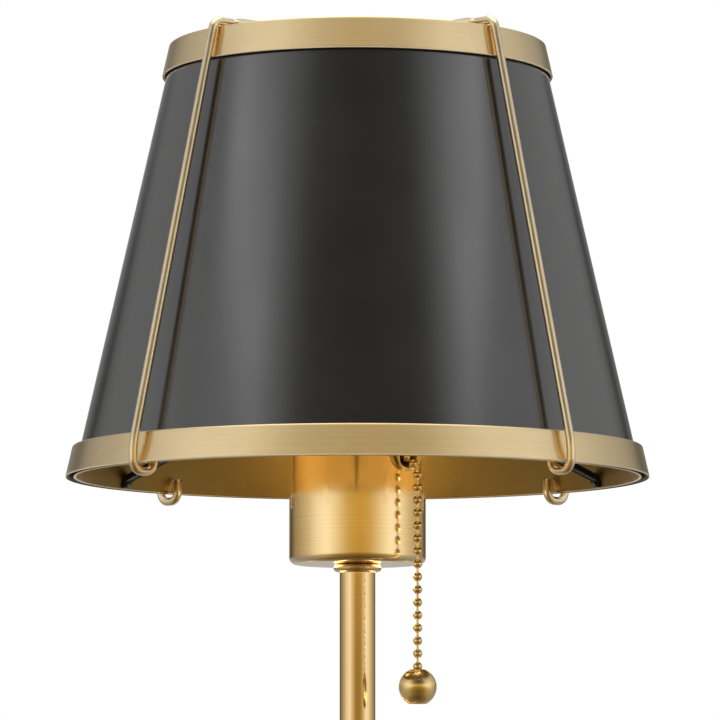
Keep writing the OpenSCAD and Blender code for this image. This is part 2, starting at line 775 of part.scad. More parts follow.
module switch_cam() {
    color(PHENOLIC) pull_side() translate([pivot[0], cam_y, pivot[1]]) rotate([-90, 0, 0]) difference() {
        cylinder(h = cam_w, d = cam_d);
        translate([0, 0, -1]) cylinder(h = cam_w + 2, d = pin_d + 2 * run_gap);
        for (a = [0, 180])
            rotate([0, 0, a]) translate([cam_d / 2 - 1.2, -1.4, -1]) cube([3, 2.8, cam_w + 2]);
    }
}

// A torsion spring on the pin: one leg on the lever's back, one on the housing's floor
module return_spring() {
    r = pin_d / 2 + 0.7 + spring_wire / 2;
    rise = spring_wire + 0.55;
    y0 = -lever_w / 2 - 0.6 - spring_wire / 2;
    steps = 10 * spring_turns;
    coil = [for (k = [0 : steps]) let (a = 36 * k)
        [pivot[0] - r * cos(a), y0 - rise * spring_turns * k / steps, pivot[1] + r * sin(a)]];
    up = [[pivot[0] - r, y0, pivot[1] - 5]];
    down = [[pivot[0] - r, y0 - rise * spring_turns, pivot[1] - 5]];
    path = concat(up, coil, down);
    color(STEEL) pull_side() sweep(path, spring_wire, 6);
}

module socket_disc() {
    color(CERAMIC) head() translate([0, 0, housing_rise]) difference() {
        cylinder(h = disc_t, r = housing_r);
        translate([0, 0, -1]) cylinder(h = disc_t + 2, d = 3 + 2 * seat_gap);
    }
}

module centre_contact() {
    color(BRIGHT) head() translate([0, 0, housing_rise]) {
        cylinder(h = disc_t, d = 3);
        translate([0, 0, disc_t]) domed(8, tip_z - shell_z - 0.3, 0.6);
    }
}

module screw_shell() {
    inner = wave(shell_in - thread_depth, shell_z + 3, thread_turns, thread_depth);
    outer = wave(shell_in - thread_depth + shell_wall, shell_z + 3, thread_turns, thread_depth);
    foot = shell_in - thread_depth;
    color(BRIGHT) head() rotate_extrude() polygon(concat(
        [[foot, shell_z], [foot + shell_wall, shell_z]],
        outer,
        reversed(inner)
    ));
}

module threaded_skirt() {
    color(CERAMIC) head() difference() {
        union() {
            translate([0, 0, shell_z]) cylinder(h = skirt_top - shell_z, d = skirt_d);
            translate([0, 0, flange_z]) cylinder(h = flange_t, d = cup_d);
        }
        translate([0, 0, shell_z - 1]) cylinder(h = skirt_top, d = skirt_bore);
    }
}

module ring_nut() {
    color(PHENOLIC) head() translate([0, 0, ring_z + spider_t])
        pipe(ring_nut_d, skirt_d + 2 * seat_gap, ring_nut_h);
}

// Bulb

module bulb_contact() {
    color(STEEL) head() translate([0, 0, tip_z]) domed(9.5, 1.4, 0.6);
}

module bulb_cap() {
    r = cap_d / 2 - thread_depth;
    t = 0.5;
    color(STEEL) head() rotate_extrude() polygon(concat(
        [[0, tip_z + 1.4], [5, tip_z + 1.4], [r, cap_z]],
        wave(r, cap_z, thread_turns, thread_depth),
        reversed(wave(r - t, cap_z, thread_turns, thread_depth)),
        [[5, tip_z + 2.4], [0, tip_z + 2.4]]
    ));
}

module bulb_outline(d, neck_r, z0, top) {
    a = 35;
    r = d / 2;
    zc = top - r;
    drop = (r * cos(a) - neck_r) / tan(a);
    translate([0, 0, zc]) sphere(r = r);
    translate([0, 0, zc - r * sin(a) - drop]) cylinder(h = drop, r1 = neck_r, r2 = r * cos(a));
    translate([0, 0, z0]) cylinder(h = zc - r * sin(a) - drop - z0, r = neck_r);
}

module bulb_glass() {
    neck = cap_d / 2 - thread_depth - 0.2;
    color(GLASS) head() difference() {
        bulb_outline(bulb_d, neck, glass_z, glass_z + bulb_h);
        bulb_outline(bulb_d - 2 * bulb_wall, neck - bulb_wall, glass_z - 1, glass_z + bulb_h - bulb_wall);
    }
}

// Pull chain

module chain_lead() {
    color(BRIGHT) pull_side() {
        for (p = [BL1, BL2, BL3]) translate([p[0], 0, p[1]]) solid_bead();
        translate([BL3[0], 0, BL3[1]]) rotate([0, 90 + LEAD_A, 0])
            cylinder(h = 3 * bead_pitch + bead_r + stub_l, d = link_d);
    }
}

module chain_turn_1() {
    color(BRIGHT) pull_side() turning_bead(BT1, -THROAT_A, -MOUTH_A);
}

module chain_turn_2() {
    color(BRIGHT) pull_side() turning_bead(BT2, -LEAD_A, -THROAT_A);
}

module chain_top() {
    color(BRIGHT) pull_side() translate([B0[0], 0, B0[1]]) {
        solid_bead();
        rotate([0, MOUTH_A - 180, 0]) rotate([0, 90, 0]) cylinder(h = bead_r + stub_l, d = link_d);
    }
}

module chain_second() {
    color(BRIGHT) pull_side() translate([B0[0], 0, B0[1] - bead_pitch]) {
        sphere(d = bead_d);
        cylinder(h = bead_pitch - bead_r - seat_gap, d = link_d);
    }
}

module chain_beads() {
    color(BRIGHT) pull_side() for (k = [2 : bead_count - 1])
        translate([B0[0], 0, B0[1] - k * bead_pitch]) bead_shell();
}

module chain_links() {
    color(BRIGHT) pull_side() {
        for (k = [2 : bead_count - 2])
            translate([B0[0], 0, B0[1] - k * bead_pitch]) bead_link();
        translate([B0[0], 0, B0[1] - 2 * bead_pitch]) {
            cylinder(h = bead_pitch - bead_r - seat_gap, d = link_d);
        }
    }
}

module pull_ball() {
    end_z = -chain_drop - (bead_count - 1) * bead_pitch;
    color(BRIGHT) pull_side() translate([chain_r, 0, 0]) {
        difference() {
            translate([0, 0, ball_c]) sphere(d = ball_d);
            translate([-ball_d, -ball_d, flat_z - ball_d]) cube([2 * ball_d, 2 * ball_d, ball_d]);
            translate([-ball_d, -ball_d, ball_top]) cube([2 * ball_d, 2 * ball_d, ball_d]);
            translate([0, 0, ball_top - ball_sink]) cylinder(h = ball_d, d = bead_d + 0.4);
            translate([0, 0, flat_z - 1]) cylinder(h = ball_d, d = link_d + 2 * seat_gap);
            translate([0, 0, flat_z - 1]) cylinder(h = end_z - bead_pitch + bead_r + seat_gap - flat_z + 1,
                d = bead_d + 0.6);
        }
        translate([0, 0, end_z - bead_pitch]) {
            sphere(d = bead_d);
            cylinder(h = bead_pitch - bead_r - seat_gap, d = link_d);
        }
    }
}

// Shade

module shade_spider() {
    color(BLACK) head() {
        translate([0, 0, ring_z]) pipe(spider_ring_d, spider_bore, spider_t);
        for (a = SPIDER_AZ) difference() {
            rotate([90, 0, a]) translate([0, 0, -spider_w / 2]) linear_extrude(spider_w) polygon([
                [arm_in, arm_z],
                [arm_in, arm_low],
                [arm_bend, arm_low],
                [tab_r(arm_foot) - tab_t, arm_foot],
                [tab_r(tab_z) - tab_t, tab_z],
                [tab_r(tab_z), tab_z],
                [tab_r(tab_top), tab_top],
                [arm_bend, arm_z]
            ]);
            rivet_hole(a);
        }
    }
}

// The cone's outer face at a rivet: Z runs out of the wall
module rivet_axis(a) {
    rotate([0, 0, a]) translate([cone_r(rivet_z), 0, rivet_z]) rotate([0, 90 - atan(taper), 0]) children();
}

module rivet_hole(a) {
    rivet_axis(a) translate([0, 0, -2 * rivet_in]) cylinder(h = 3 * rivet_in, d = rivet_d + 2 * seat_gap);
}

module spider_rivets() {
    color(BLACK) head() for (a = SPIDER_AZ) rivet_axis(a) {
        translate([0, 0, -rivet_in - 0.1]) cylinder(h = rivet_in + 0.2, d = rivet_d);
        domed(rivet_head, rivet_d / 2, rivet_d / 5);
        translate([0, 0, -rivet_in]) mirror([0, 0, 1]) domed(rivet_head, rivet_d / 2, rivet_d / 5);
    }
}

module shade_cone() {
    top = shade_h - band_wall;
    color(BLACK) head() difference() {
        cone_shell(cone_r(0), cone_r(0) - shade_wall, 0, cone_r(top), cone_r(top) - shade_wall, top);
        for (a = SPIDER_AZ) rivet_hole(a);
    }
}

module top_band() {
    z0 = shade_h - top_band_h;
    z1 = shade_h - band_wall;
    color(BRASS) head() rotate_extrude() polygon([
        [top_band_r(z0) - band_wall, z0],
        [top_band_r(z0), z0],
        [top_band_r(shade_h), shade_h],
        [top_band_r(shade_h) - band_wall - top_lip_w, shade_h],
        [top_band_r(shade_h) - band_wall - top_lip_w, z1],
        [top_band_r(z1) - band_wall, z1]
    ]);
}

module low_band() {
    z0 = low_band_h - band_wall;
    color(BRASS) head() rotate_extrude() polygon([
        [low_band_r(0) - band_wall, 0],
        [low_band_r(0), 0],
        [low_band_r(low_band_h), low_band_h],
        [cone_r(low_band_h) + seat_gap, low_band_h],
        [cone_r(z0) + seat_gap, z0],
        [low_band_r(z0) - band_wall, z0]
    ]);
}

// Cage

module cage_straps() {
    color(BRASS) head() for (k = [0 : 3]) rotate([0, 0, CROSS_AZ + 90 * k]) {
        sweep([for (q = STRAP) [q[0], 0, q[1]]], strap_d, 12);
        translate([bar_end - neck_in, 0, strap_top]) rotate([0, 90, 0])
            cylinder(h = neck_in + neck_gap + 1, d = neck_d);
    }
}

// One bar of the cross, notched to half its height where the other passes
module cross_bar(notch_z) {
    difference() {
        translate([-bar_end, -bar_w / 2, bar_z]) cube([2 * bar_end, bar_w, bar_h]);
        translate([-bar_w / 2 - seat_gap, -bar_w, notch_z]) cube([bar_w + 2 * seat_gap, 2 * bar_w, bar_h]);
        translate([0, 0, bar_z - 1]) cylinder(h = bar_h + 2, d = cross_screw_d + 2 * seat_gap);
        for (a = [0, 180]) rotate([0, 0, a])
            translate([bar_end - neck_in - 0.5, 0, strap_top]) rotate([0, 90, 0])
                cylinder(h = neck_in + 2, d = neck_d + 2 * seat_gap);
    }
}

module cross_bar_a() {
    color(BRASS) head() rotate([0, 0, CROSS_AZ]) cross_bar(bar_z + bar_h / 2);
}

module cross_bar_b() {
    color(BRASS) head() rotate([0, 0, CROSS_AZ + 90]) cross_bar(bar_z - bar_h / 2);
}

module cross_screw() {
    color(BRASS) head() {
        translate([0, 0, bar_z + bar_h]) domed(cross_head_d, cross_head_h, cross_head_h * 0.5);
        translate([0, 0, bar_z - cross_head_h - 1]) cylinder(h = bar_h + cross_head_h + 1, d = cross_screw_d);
    }
}

module cross_nut() {
    color(BRASS) head() translate([0, 0, bar_z - cross_head_h])
        hex_nut(cross_head_d, cross_head_h, cross_screw_d + 2 * seat_gap);
}

wall_plate();
crossbar();
plate_studs();
cap_nuts();
ground_screw();
arm_collar();
arm_tube();
arm_nipple();
arm_locknut();
wire_connectors();
live_wire();
neutral_wire();
hub_block();
hub_finial();
hub_grub();
stem_tube();
stem_collar();
stem_nipple();
cup_locknut();
socket_cup();
chain_bell();
switch_housing();
terminal_screws();
contact_leaves();
lever_pin();
pull_lever();
switch_cam();
return_spring();
socket_disc();
centre_contact();
screw_shell();
threaded_skirt();
ring_nut();
bulb_contact();
bulb_cap();
bulb_glass();
chain_lead();
chain_turn_1();
chain_turn_2();
chain_top();
chain_second();
chain_beads();
chain_links();
pull_ball();
shade_spider();
spider_rivets();
shade_cone();
top_band();
low_band();
cage_straps();
cross_bar_a();
cross_bar_b();
cross_screw();
cross_nut();
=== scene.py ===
"""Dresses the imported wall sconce: lathe-turned brass, painted cone, rod cage, ball chain and studio."""
import json
import math

import bmesh
import bpy
from mathutils import Matrix, Vector


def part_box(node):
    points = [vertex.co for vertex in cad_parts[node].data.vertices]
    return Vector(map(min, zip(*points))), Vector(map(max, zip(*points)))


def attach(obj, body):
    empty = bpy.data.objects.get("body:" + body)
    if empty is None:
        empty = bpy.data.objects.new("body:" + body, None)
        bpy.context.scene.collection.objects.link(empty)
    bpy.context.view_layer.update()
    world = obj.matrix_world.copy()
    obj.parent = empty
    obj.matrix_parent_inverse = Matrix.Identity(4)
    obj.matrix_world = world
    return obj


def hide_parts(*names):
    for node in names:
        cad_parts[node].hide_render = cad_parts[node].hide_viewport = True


bl_info = {
    "name": "Pull-chain wall sconce",
    "version": (1, 0, 0),
    "blender": (4, 5, 0),
    "location": "View3D > Sidebar > Sconce",
    "description": "Builds the visible pieces of a caged wall sconce around its solid model",
    "category": "Object",
}

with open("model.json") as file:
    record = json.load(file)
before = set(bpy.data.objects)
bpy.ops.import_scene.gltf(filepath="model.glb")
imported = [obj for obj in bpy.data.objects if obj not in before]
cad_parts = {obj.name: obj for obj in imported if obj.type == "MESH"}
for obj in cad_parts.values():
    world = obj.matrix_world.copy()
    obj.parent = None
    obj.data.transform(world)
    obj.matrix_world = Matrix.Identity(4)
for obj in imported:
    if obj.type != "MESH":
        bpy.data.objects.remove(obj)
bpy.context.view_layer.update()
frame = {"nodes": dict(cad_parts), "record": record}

# Places and sizes read from the solid model

BAND_LOW, BAND_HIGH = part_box("low_band")
AXIS_Y = (BAND_LOW.y + BAND_HIGH.y) / 2
RIM_Z = BAND_LOW.z
SHADE_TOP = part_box("top_band")[1].z - RIM_Z
CUP_LOW, CUP_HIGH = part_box("socket_cup")
CHAIN_LOW, CHAIN_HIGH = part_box("chain_top")
CHAIN_X = (CHAIN_LOW.x + CHAIN_HIGH.x) / 2
CHAIN_RADIUS = CHAIN_X * math.sqrt(2)
BEAD_D = CHAIN_HIGH.x - CHAIN_LOW.x
TOP_BEAD_Z = CHAIN_LOW.z + BEAD_D / 2 - RIM_Z
SECOND_BEAD_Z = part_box("chain_second")[0].z + BEAD_D / 2 - RIM_Z
BEAD_PITCH = TOP_BEAD_Z - SECOND_BEAD_Z
PULL_AZIMUTH = math.radians(-45)
HEAD = Matrix.Translation((0, AXIS_Y, RIM_Z))
PULL = HEAD @ Matrix.Rotation(PULL_AZIMUTH, 4, "Z")
WALL = Matrix.Rotation(math.radians(90), 4, "X")

# Air where pieces touch, distance of points taken as one, and degrees of a sharp edge

SEAT = 0.0001
MERGE = 1e-7
CREASE = 35

# Sides of large, middle-sized and small turned pieces, and of bores, pins, rods, beads, links and wires

LARGE, MIDDLE, SMALL = 192, 96, 48
BORE, PIN, ROD, BEAD, LINK, WIRE = 64, 32, 28, 24, 16, 14

# The finish that a piece of the solid model takes from its material slot, and the materials by finish

SLOT_FINISHES = {
    "brass": "brass_around", "bright_brass": "bright", "black_paint": "paint", "steel": "steel",
    "green_screw": "green", "phenolic": "phenolic", "ceramic": "ceramic", "connector": "connector",
    "black_wire": "black_wire", "white_wire": "white_wire", "bulb_glass": "glass",
}
FINISHES = {}


def length(description, default):
    """A length property in metres."""
    return bpy.props.FloatProperty(description=description, default=default, unit="LENGTH", precision=5)


def angle(description, degrees):
    """An angle property, given in degrees."""
    return bpy.props.FloatProperty(description=description, default=math.radians(degrees), subtype="ANGLE")


def tint(description, default):
    """A colour property."""
    return bpy.props.FloatVectorProperty(
        description=description, default=default, size=3, subtype="COLOR", min=0, max=1
    )


class SconceShadeSettings(bpy.types.PropertyGroup):
    """Sizes of the shade, its bands and its spider."""

    cone_radius: length("Outer radius of the painted cone at its rim", 0.099)
    cone_top_radius: length("Outer radius of the cone at the shade's top", 0.0647)
    height: length("Height of the shade over both bands", SHADE_TOP)
    sheet: length("Thickness of the cone's sheet", 0.0008)
    band_sheet: length("Thickness of both bands", 0.001)
    top_band: length("Height of the upper band", 0.011)
    top_gap: length("Air between the cone and the upper band", 0.0005)
    top_lip: length("Width of the lip folded over the cone's edge", 0.004)
    low_band: length("Height of the lower band", 0.0107)
    low_gap: length("Air between the cone and the lower band", 0.0018)
    spider_bore: length("Inner radius of the spider's ring", 0.02)
    spider_ring: length("Outer radius of the spider's ring", 0.025)
    spider_sheet: length("Thickness of the spider", 0.0022)
    spider_width: length("Width of a spider arm", 0.004)
    tab_height: length("Height of the tab at an arm's end", 0.0044)
    tab_sheet: length("Thickness of that tab", 0.0012)


class SconceCageSettings(bpy.types.PropertyGroup):
    """Sizes of the rods and the cross bars."""

    rod: length("Diameter of the rods", 0.003)
    rod_gap: length("Air between a rod and the lower band", 0.0003)
    rod_top_gap: length("Air between a rod and the upper band", 0.0004)
    hook_back: length("Air between a hook's end and the cone", 0.001)
    hook_drop: length("Air under the rim inside a hook", 0.0013)
    hook_tip: length("Height of a hook's end above the rim", 0.005)
    bend: length("Centre-line radius of the upper bend", 0.0035)
    knee: length("Centre-line radius of the lower bend", 0.03)
    knee_rise: length("Height of the lower bend above the hook's bend", 0.0054)
    inset: length("Reach of a rod in over the upper band", 0.007)
    neck: length("Bare thread between a rod and its bar", 0.0015)
    thread: length("Diameter of that thread", 0.0024)
    bar_width: length("Width of the cross bars", 0.005)
    bar_height: length("Height of the cross bars", 0.0032)
    bar_gap: length("Air between the bars and the upper band", 0.0003)
    screw: length("Diameter of the screw where the bars cross", 0.0034)


class SconceSocketSettings(bpy.types.PropertyGroup):
    """Sizes of the cup, the bell, the socket's ring and the bulb."""

    cup_radius: length("Outer radius of the cup", (CUP_HIGH.x - CUP_LOW.x) / 2)
    cup_drop: length("Depth of the cup below the rim", RIM_Z - CUP_LOW.z)
    cup_rise: length("Height of the cup's edge above the rim", CUP_HIGH.z - RIM_Z)
    cup_wall: length("Wall of the cup", 0.0012)
    cup_round: length("Radius of the cup's lower corner", 0.0024)
    bell_radius: length("Radius of the bell's mouth", 0.0058)
    bell_bore: length("Radius of the bell's throat", 0.0042)
    bell_wall: length("Sheet thickness of the bell", 0.0006)
    bell_reach: length("Distance of the bell's mouth from the cup", 0.0025)
    bell_height: length("Height of the mouth's centre above the rim", 0.007)
    bell_tilt: angle("Downward tilt of the bell", 15)
    bell_room: length("Room of the bell in the cup's hole", 0.00035)
    flange: length("Thickness of the skirt's flange", 0.0015)
    skirt_radius: length("Outer radius of the threaded skirt", 0.0195)
    skirt_bore: length("Inner radius of the threaded skirt", 0.015)
    skirt_foot: length("Height of the skirt's foot above the rim", 0.02)
    skirt_rise: length("Height of the skirt above its flange", 0.013)
    ring_radius: length("Outer radius of the ring nut", 0.025)
    ring_height: length("Height of the ring nut", 0.0055)
    bulb_radius: length("Radius of the bulb", 0.03)
    bulb_neck: length("Radius of the glass at the screw cap", 0.0123)
    bulb_wall: length("Thickness of the glass", 0.0008)


class SconceChainSettings(bpy.types.PropertyGroup):
    """Sizes of the pull chain."""

    bead: length("Diameter of a bead", BEAD_D)
    wall: length("Wall of a bead", 0.0004)
    wire: length("Diameter of the wire between beads", 0.0008)
    pitch: length("Spacing of the beads", BEAD_PITCH)
    beads: bpy.props.IntProperty(description="Beads that hang below the bell", default=16)
    lead: angle("Slope of the chain inside the cup", 24)
    throat: angle("Slope of the chain in the bell's throat", 36)
    mouth: angle("Slope of the chain at the bell's mouth", 60)
    ball: length("Diameter of the ball at the end", 0.013)
    flat: length("Diameter of the flat under the ball", 0.006)
    sink: length("Depth of the last bead in the ball", 0.0007)


class SconceStandSettings(bpy.types.PropertyGroup):
    """Sizes of the stem, the hub, the arm and the wall plate."""

    tube: length("Diameter of the stem and the arm", 0.0124)
    wall: length("Wall of the stem and the arm", 0.0013)
    collar: length("Diameter of the bead collars", 0.0167)
    collar_height: length("Height of the bead collars", 0.0026)
    nipple: length("Diameter of the nipples' holes", 0.0099)
    hub: length("Diameter of the hub", 0.022)
    hub_height: length("Height of the hub", 0.028)
    hub_round: length("Radius of the hub's corners", 0.002)
    seat: length("Depth of the stem's seat in the hub", 0.007)
    button: length("Diameter of the button under the hub", 0.015)
    button_height: length("Height of that button", 0.005)
    plate: length("Diameter of the wall plate", 0.1206)
    plate_depth: length("Depth of the wall plate", 0.022)
    plate_wall: length("Wall of the plate", 0.0012)
    plate_round: length("Radius of the plate's front edge", 0.008)
    plate_rim: length("Width of the rim on the wall", 0.006)
    nut: length("Diameter of the cap nuts", 0.009)
    nut_height: length("Height of the cap nuts", 0.008)
    studs: length("Distance between the plate's studs", 0.056)


class SconceFinishSettings(bpy.types.PropertyGroup):
    """Colours of the finishes."""

    brass: tint("Brushed brass of the stem and the wall plate", (0.86, 0.655, 0.38))
    band: tint("Brushed brass of the bands and the hub", (1.0, 0.785, 0.48))
    cup: tint("Brushed brass of the socket cup", (0.9632, 0.7336, 0.4256))
    bell: tint("Brass of the chain's bell", (1.0, 0.75, 0.32))
    rod: tint("Drawn brass of the rods", (0.95, 0.8, 0.55))
    bright: tint("Polished brass of the chain", (0.9632, 0.728, 0.3584))
    paint: tint("Satin paint outside the shade", (0.006, 0.006, 0.0055))
    lining: tint("Gold lacquer inside the shade", (0.34, 0.22, 0.065))


class SconceStageSettings(bpy.types.PropertyGroup):
    """Camera and studio."""

    focal: bpy.props.FloatProperty(description="Focal length on a 36 mm sensor", default=255.14)
    distance: length("From the lens to the stem's axis, along the floor", 1.775)
    eye: length("Height of the lens above the arm", 0.012)
    azimuth: angle("Turn of the camera about the stem", 1.49)
    yaw: angle("Turn of the camera away from the stem", -0.028)
    pitch: angle("Upward tilt of the camera", 5.777)
    floor: length("Height of the studio floor", -0.12)


# Meshes


def soften(points, radius, steps=3, share=0.45):
    """Rounds the corners of a closed outline, each over at most a share of its sides."""
    rounded = []
    count = len(points)
    for i, here in enumerate(points):
        here = Vector(here)
        back = Vector(points[i - 1]) - here
        ahead = Vector(points[(i + 1) % count]) - here
        reach = min(radius, back.length * share, ahead.length * share)
        if reach < 10 * MERGE or here.x < MERGE:
            rounded.append(here)
            continue
        start = here + back.normalized() * reach
        end = here + ahead.normalized() * reach
        for k in range(steps + 1):
            t = k / steps
            rounded.append((1 - t) ** 2 * start + 2 * t * (1 - t) * here + t * t * end)
    return rounded


def as_object(name, mesh_bm, crease=CREASE):
    """Closes a bmesh into a smooth-shaded object with sharp edges kept."""
    bmesh.ops.remove_doubles(mesh_bm, verts=mesh_bm.verts, dist=MERGE)
    bmesh.ops.recalc_face_normals(mesh_bm, faces=mesh_bm.faces)
    mesh = bpy.data.meshes.new(name)
    mesh_bm.to_mesh(mesh)
    mesh_bm.free()
    mesh.shade_smooth()
    mesh.set_sharp_from_angle(angle=math.radians(crease))
    obj = bpy.data.objects.new(name, mesh)
    bpy.context.scene.collection.objects.link(obj)
    return obj


def braced(outline, hold=0.0004, long=5):
    """Adds a point near both ends of each line of some holds, so that it is shaded straight."""
    points = []
    for here, ahead in zip(outline, [*outline[1:], outline[0]]):
        here, line = Vector(here), Vector(ahead) - Vector(here)
        points.append(here)
        if line.length > long * hold:
            step = line.normalized() * hold
            points += [here + step, here + line - step]
    return points


def turned(name, outline, place, segments, crease=CREASE):
    """Turns a closed outline of (radius, height) about Z and puts it in place."""
    outline = braced(outline)
    bm = bmesh.new()
    rings = []
    for k in range(segments):
        a = 2 * math.pi * k / segments
        rings.append([
            bm.verts.new(place @ Vector((p[0] * math.cos(a), p[0] * math.sin(a), p[1])))
            for p in outline
        ])
    for k in range(segments):
        one, two = rings[k], rings[(k + 1) % segments]
        for i in range(len(outline)):
            j = (i + 1) % len(outline)
            if max(outline[i][0], outline[j][0]) > MERGE:
                bm.faces.new((one[i], one[j], two[j], two[i]))
    bmesh.ops.remove_doubles(bm, verts=bm.verts, dist=MERGE)
    bmesh.ops.dissolve_degenerate(bm, dist=MERGE, edges=bm.edges)
    return as_object(name, bm, crease)


def plate(name, outline, width, place, bevel):
    """Extrudes a closed outline of (length, height) across Y, with bevelled edges."""
    bm = bmesh.new()
    near, far = (
        [bm.verts.new(place @ Vector((p[0], y, p[1]))) for p in outline] for y in (-width / 2, width / 2)
    )
    bm.faces.new(near)
    bm.faces.new(far[::-1])
    for i in range(len(outline)):
        j = (i + 1) % len(outline)
        bm.faces.new((near[j], near[i], far[i], far[j]))
    bmesh.ops.bevel(
        bm, geom=bm.edges[:], offset=bevel, segments=2, profile=0.5, affect="EDGES", clamp_overlap=True
    )
    return as_object(name, bm)


def swap_mesh(obj, mesh):
    """Puts a new mesh on an object and drops the old one."""
    old, obj.data = obj.data, mesh
    mesh.name = old.name
    bpy.data.meshes.remove(old)
    return obj


def bored(obj, *cutters):
    """Cuts other pieces out of a piece and removes them."""
    for cutter in cutters:
        cut = obj.modifiers.new("Bore", "BOOLEAN")
        cut.object, cut.operation, cut.solver = cutter, "DIFFERENCE", "EXACT"
    graph = bpy.context.evaluated_depsgraph_get()
    mesh = bpy.data.meshes.new_from_object(obj.evaluated_get(graph))
    obj.modifiers.clear()
    for cutter in cutters:
        bpy.data.objects.remove(cutter)
    mesh.set_sharp_from_angle(angle=math.radians(CREASE))
    return swap_mesh(obj, mesh)


def joined(name, *pieces):
    """Makes one piece of several."""
    bm = bmesh.new()
    for piece in pieces:
        bm.from_mesh(piece.data)
        bpy.data.objects.remove(piece)
    mesh = bpy.data.meshes.new(name)
    bm.to_mesh(mesh)
    bm.free()
    obj = bpy.data.objects.new(name, mesh)
    bpy.context.scene.collection.objects.link(obj)
    return obj


def swept(name, path, radii, sides):
    """A round bar along points, with a radius at each point and closed ends."""
    bm = bmesh.new()
    points = [Vector(p) for p in path]
    side = None
    rings = []
    for i, point in enumerate(points):
        along = (points[min(i + 1, len(points) - 1)] - points[max(i - 1, 0)]).normalized()
        if side is None:
            side = along.orthogonal()
        side = (side - side.dot(along) * along).normalized()
        other = along.cross(side)
        rings.append([
            bm.verts.new(point + radii[i] * (math.cos(t) * side + math.sin(t) * other))
            for t in (2 * math.pi * k / sides for k in range(sides))
        ])
    for one, two in zip(rings, rings[1:]):
        for k in range(sides):
            bm.faces.new((one[k], one[(k + 1) % sides], two[(k + 1) % sides], two[k]))
    bm.faces.new(rings[0])
    bm.faces.new(rings[-1])
    return as_object(name, bm)


def arc(centre, radius, start, end, steps):
    """Points of an arc in the plane of radius and height, angles in degrees."""
    turns = [math.radians(start + (end - start) * k / steps) for k in range(steps + 1)]
    return [(centre[0] + radius * math.cos(t), centre[1] + radius * math.sin(t)) for t in turns]


def rounded_top(radius, height, corner, steps=6):
    """The outer outline of a turned solid with a rounded upper edge, from its foot to its axis."""
    corner_arc = arc((radius - corner, height - corner), corner, 0, 90, steps)
    return [(radius, 0), *corner_arc, (0, height)]


def peg(name, place, radius, start, end, segments):
    """A plain turned pin, for wire ends and for cutting bores."""
    return turned(name, [(0, start), (radius, start), (radius, end), (0, end)], place, segments)


def ball(name, centre, radius, segments=ROD):
    """A closed ball about a point."""
    return turned(name, arc((0, 0), radius, -90, 90, segments // 2), Matrix.Translation(centre), segments)


def soften_end(points, radius, inset=0.3):
    """Rounds two corners that follow each other on an open outline, with a point at each inset."""
    first, last = Vector(points[0]), Vector(points[1])
    across = (last - first).normalized() * radius
    down = Vector((0, -radius))
    return [
        first + down, first + (down + across) * inset, first + across,
        last - across, last + (down - across) * inset, last + down,
    ]


def cone_at(shade, z):
    """Outer radius of the painted cone at a height above its rim."""
    return shade.cone_radius + (shade.cone_top_radius - shade.cone_radius) * z / shade.height


def slope_of(lean):
    """Outward and downward direction in the plane of the pull."""
    return Vector((math.cos(lean), 0, -math.sin(lean)))


# Nodes


def feed(tree, node, inputs):
    """Gives inputs of a node their values, or links them to other nodes."""
    for key, value in inputs.items():
        if isinstance(value, bpy.types.NodeSocket):
            tree.links.new(value, node.inputs[key])
        else:
            node.inputs[key].default_value = value
    return node


def add(tree, kind, inputs=None, **settings):
    """A new node with its settings and its inputs."""
    node = tree.nodes.new(kind)
    for key, value in settings.items():
        setattr(node, key, value)
    return feed(tree, node, inputs or {})


def reckon(tree, operation, *values):
    """A math node on sockets or numbers."""
    return add(tree, "ShaderNodeMath", dict(enumerate(values)), operation=operation).outputs[0]


# Geometry Nodes for what repeats


PLACING = {
    "ring": {"Start angle": "Float", "Centre": "Vector"},
    "row": {"First": "Vector", "Step": "Vector"},
}


def repeat_tree(kind):
    """A node tree that repeats an object, in a ring about a centre or along a straight row."""
    tree = bpy.data.node_groups.new(f"{kind.title()} of pieces", "GeometryNodeTree")
    sockets = {
        "Geometry": "Geometry", "Piece": "Object", "Count": "Int", **PLACING[kind], "Finish": "Material",
    }
    for label, value in sockets.items():
        tree.interface.new_socket(label, in_out="INPUT", socket_type=f"NodeSocket{value}")
    tree.interface.new_socket("Geometry", in_out="OUTPUT", socket_type="NodeSocketGeometry")
    given = add(tree, "NodeGroupInput").outputs
    if kind == "ring":
        row, turn, centre = {"Offset": (0, 0, 0)}, {"Rotation": ring_turn(tree, given)}, given["Centre"]
    else:
        row, turn, centre = {"Start Location": given["First"], "Offset": given["Step"]}, {}, (0, 0, 0)
    line = add(tree, "GeometryNodeMeshLine", {"Count": given["Count"], **row}).outputs["Mesh"]
    piece = add(tree, "GeometryNodeObjectInfo", {"Object": given["Piece"]}).outputs["Geometry"]
    place = add(tree, "GeometryNodeInstanceOnPoints", {"Points": line, "Instance": piece, **turn})
    real = add(tree, "GeometryNodeRealizeInstances", {0: place.outputs[0]})
    move = add(tree, "GeometryNodeTransform", {"Geometry": real.outputs[0], "Translation": centre})
    finish = add(tree, "GeometryNodeSetMaterial", {"Geometry": move.outputs[0], "Material": given["Finish"]})
    add(tree, "NodeGroupOutput", {0: finish.outputs[0]})
    return tree


def ring_turn(tree, given):
    """Turns each piece of a ring by its share of the circle, from the start angle on."""
    index = add(tree, "GeometryNodeInputIndex").outputs[0]
    step = reckon(tree, "DIVIDE", 2 * math.pi, given["Count"])
    turn = reckon(tree, "MULTIPLY_ADD", index, step, given["Start angle"])
    spin = add(tree, "ShaderNodeCombineXYZ", {"Z": turn})
    return add(tree, "FunctionNodeEulerToRotation", {0: spin.outputs[0]}).outputs[0]


TREES = {}


